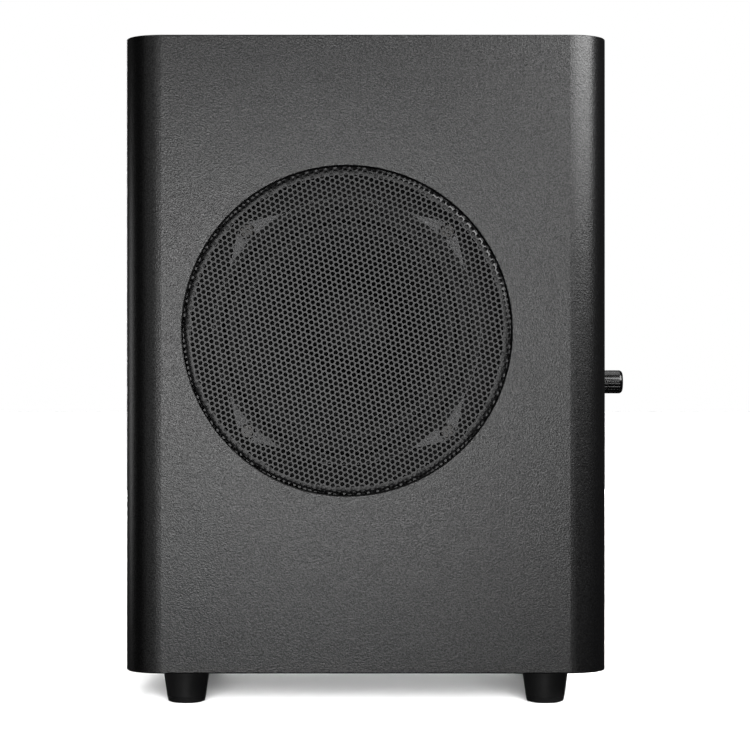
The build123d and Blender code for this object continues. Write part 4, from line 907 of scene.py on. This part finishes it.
# ---------------------------------------------------------------- wadding
PAD_CELLS = (96, 140)  # across and up
PAD_LEVEL = 0.84  # share of the thickness that the face reaches on average
PAD_CROWN = (16, 0.35)  # powers that keep it full almost to its edges
TUFTS = ((3.0, 45, 0.10), (7.0, 160, 0.05))  # layer of the noise, fineness and share of the thickness
WELD = 0.01 * MM


def wadding_pad():
    """Sheet of polyester wadding with a flat glued back, soft edges and a tufted face."""
    low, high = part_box("damping_pad")
    centre, half = (low + high) / 2, (high - low) / 2
    across, up = PAD_CELLS
    thickness = high.y - low.y
    points, faces = [], []

    def crown(share):
        return (1 - abs(share) ** PAD_CROWN[0]) ** PAD_CROWN[1]

    for side in (0, 1):
        for j in range(up + 1):
            for i in range(across + 1):
                u, v = 2 * i / across - 1, 2 * j / up - 1
                x, z = centre.x + u * half.x, centre.z + v * half.z
                tuft = sum(noise.noise(Vector((x, z, layer)) * fine) * part for layer, fine, part in TUFTS)
                rise = thickness * crown(u) * crown(v) * (PAD_LEVEL + tuft) if side else 0.0
                points.append((x, high.y - rise, z))
    row, sheet = across + 1, (across + 1) * (up + 1)
    for j in range(up):
        for i in range(across):
            a = j * row + i
            faces.append((a, a + row, a + row + 1, a + 1))
            faces.append((sheet + a, sheet + a + 1, sheet + a + row + 1, sheet + a + row))
    pad = new_piece("wadding_pad", points, faces, "wadding", sharp=80)
    outward(pad.data, WELD)
    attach(pad, "cabinet")
    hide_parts("damping_pad")


# ---------------------------------------------------------------- speaker lead
# Millimetres, from the plug round the magnet to the terminals
LEAD_ROUTE = [
    (111.6, -44.0, 187.5),
    (97.6, -44.0, 187.5),
    (85.6, -45.5, 171.5),
    (73.6, -49.5, 145.5),
    (52.94, -50.5, 149.46),
    (43.04, -50.5, 159.36),
]
LEAD_DIAMETER = 4.0 * MM


def speaker_lead():
    """From the plug on the amplifier board to the woofer's terminals."""
    data = bpy.data.curves.new("woofer_lead", "CURVE")
    data.dimensions = "3D"
    spline = data.splines.new("NURBS")
    spline.points.add(len(LEAD_ROUTE) - 1)
    for point, place in zip(spline.points, LEAD_ROUTE):
        point.co = (*(Vector(place) * MM), 1)
    spline.order_u = 3
    spline.use_endpoint_u = True
    spline.resolution_u = 16
    data.bevel_depth = LEAD_DIAMETER / 2
    data.bevel_resolution = 5
    data.use_fill_caps = True
    data.materials.append(MATERIALS["lead_sheath"])
    lead = bpy.data.objects.new("woofer_lead", data)
    bpy.context.scene.collection.objects.link(lead)
    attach(lead, "cabinet")
    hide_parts("speaker_lead")


# ---------------------------------------------------------------- marks printed on the plate
INK = 0.03 * MM
STROKE = 0.45 * MM
THIN_STROKE = 0.4 * MM
TICKS = 11
TICK_STEP = 30  # degrees
FIRST_TICK = 240  # degrees, from +Y towards +Z
TICK_START = 9.6 * MM
LONG_TICK = 12.4 * MM
SHORT_TICK = 11.4 * MM
HALF_BAR = 2.0 * MM
BAR_GAPS = {"phase_switch_slider": 5.2 * MM, "power_rocker": 13.4 * MM, "status_light": 3.4 * MM}
BRACKET_RISE = 4.2 * MM  # above the sockets
BRACKET_LEG = 1.6 * MM
BRACKET_CORNER = 0.2 * MM


def plate_print():
    """Ticks round the knobs, bars at the switches and the light, and a bracket over the sockets."""
    points, faces = [], []

    def stroke(start, end, width):
        """Flat bar of ink between two (y, z) points."""
        start, end = Vector(start), Vector(end)
        along = (end - start).normalized()
        side = Vector((-along.y, along.x)) * width / 2
        first = len(points)
        for x in (PLATE_FACE, PLATE_FACE + INK):
            corners = (start - side, start + side, end + side, end - side)
            points.extend((x, corner.x, corner.y) for corner in corners)
        quads = ((0, 1, 2, 3), (7, 6, 5, 4), (0, 4, 5, 1), (1, 5, 6, 2), (2, 6, 7, 3), (3, 7, 4, 0))
        faces.extend(tuple(first + i for i in quad) for quad in quads)

    for knob in ("level_knob", "crossover_knob"):
        at = middle(knob)
        for tick in range(TICKS):
            turn = math.radians(FIRST_TICK - TICK_STEP * tick)
            reach = LONG_TICK if tick % 5 == 0 else SHORT_TICK
            out = Vector((math.cos(turn), math.sin(turn)))
            centre = Vector((at.y, at.z))
            stroke(centre + out * TICK_START, centre + out * reach, STROKE)
    for node, gap in BAR_GAPS.items():
        at = middle(node)
        for side in (-1, 1):
            z = at.z + side * gap
            stroke((at.y - HALF_BAR, z), (at.y + HALF_BAR, z), STROKE)
    sockets_low, sockets_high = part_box("jack_sleeves")
    z = sockets_high.z + BRACKET_RISE
    stroke((sockets_low.y, z), (sockets_high.y, z), THIN_STROKE)
    for y in (sockets_low.y, sockets_high.y):
        stroke((y, z + BRACKET_CORNER), (y, z - BRACKET_LEG), THIN_STROKE)
    mesh = bpy.data.meshes.new("plate_marks")
    mesh.from_pydata(points, [], faces)
    mesh.materials.append(plate_ink("plate_ink_finish"))
    marks = bpy.data.objects.new("plate_marks", mesh)
    bpy.context.scene.collection.objects.link(marks)
    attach(marks, "cabinet")


# ---------------------------------------------------------------- build it
add_camera()
speaker_lead()
finish_frame()
perforated_grille()
grille_skirt()
woofer_surround()
woofer_spider()
wadding_pad()
plate_print()
add_studio()
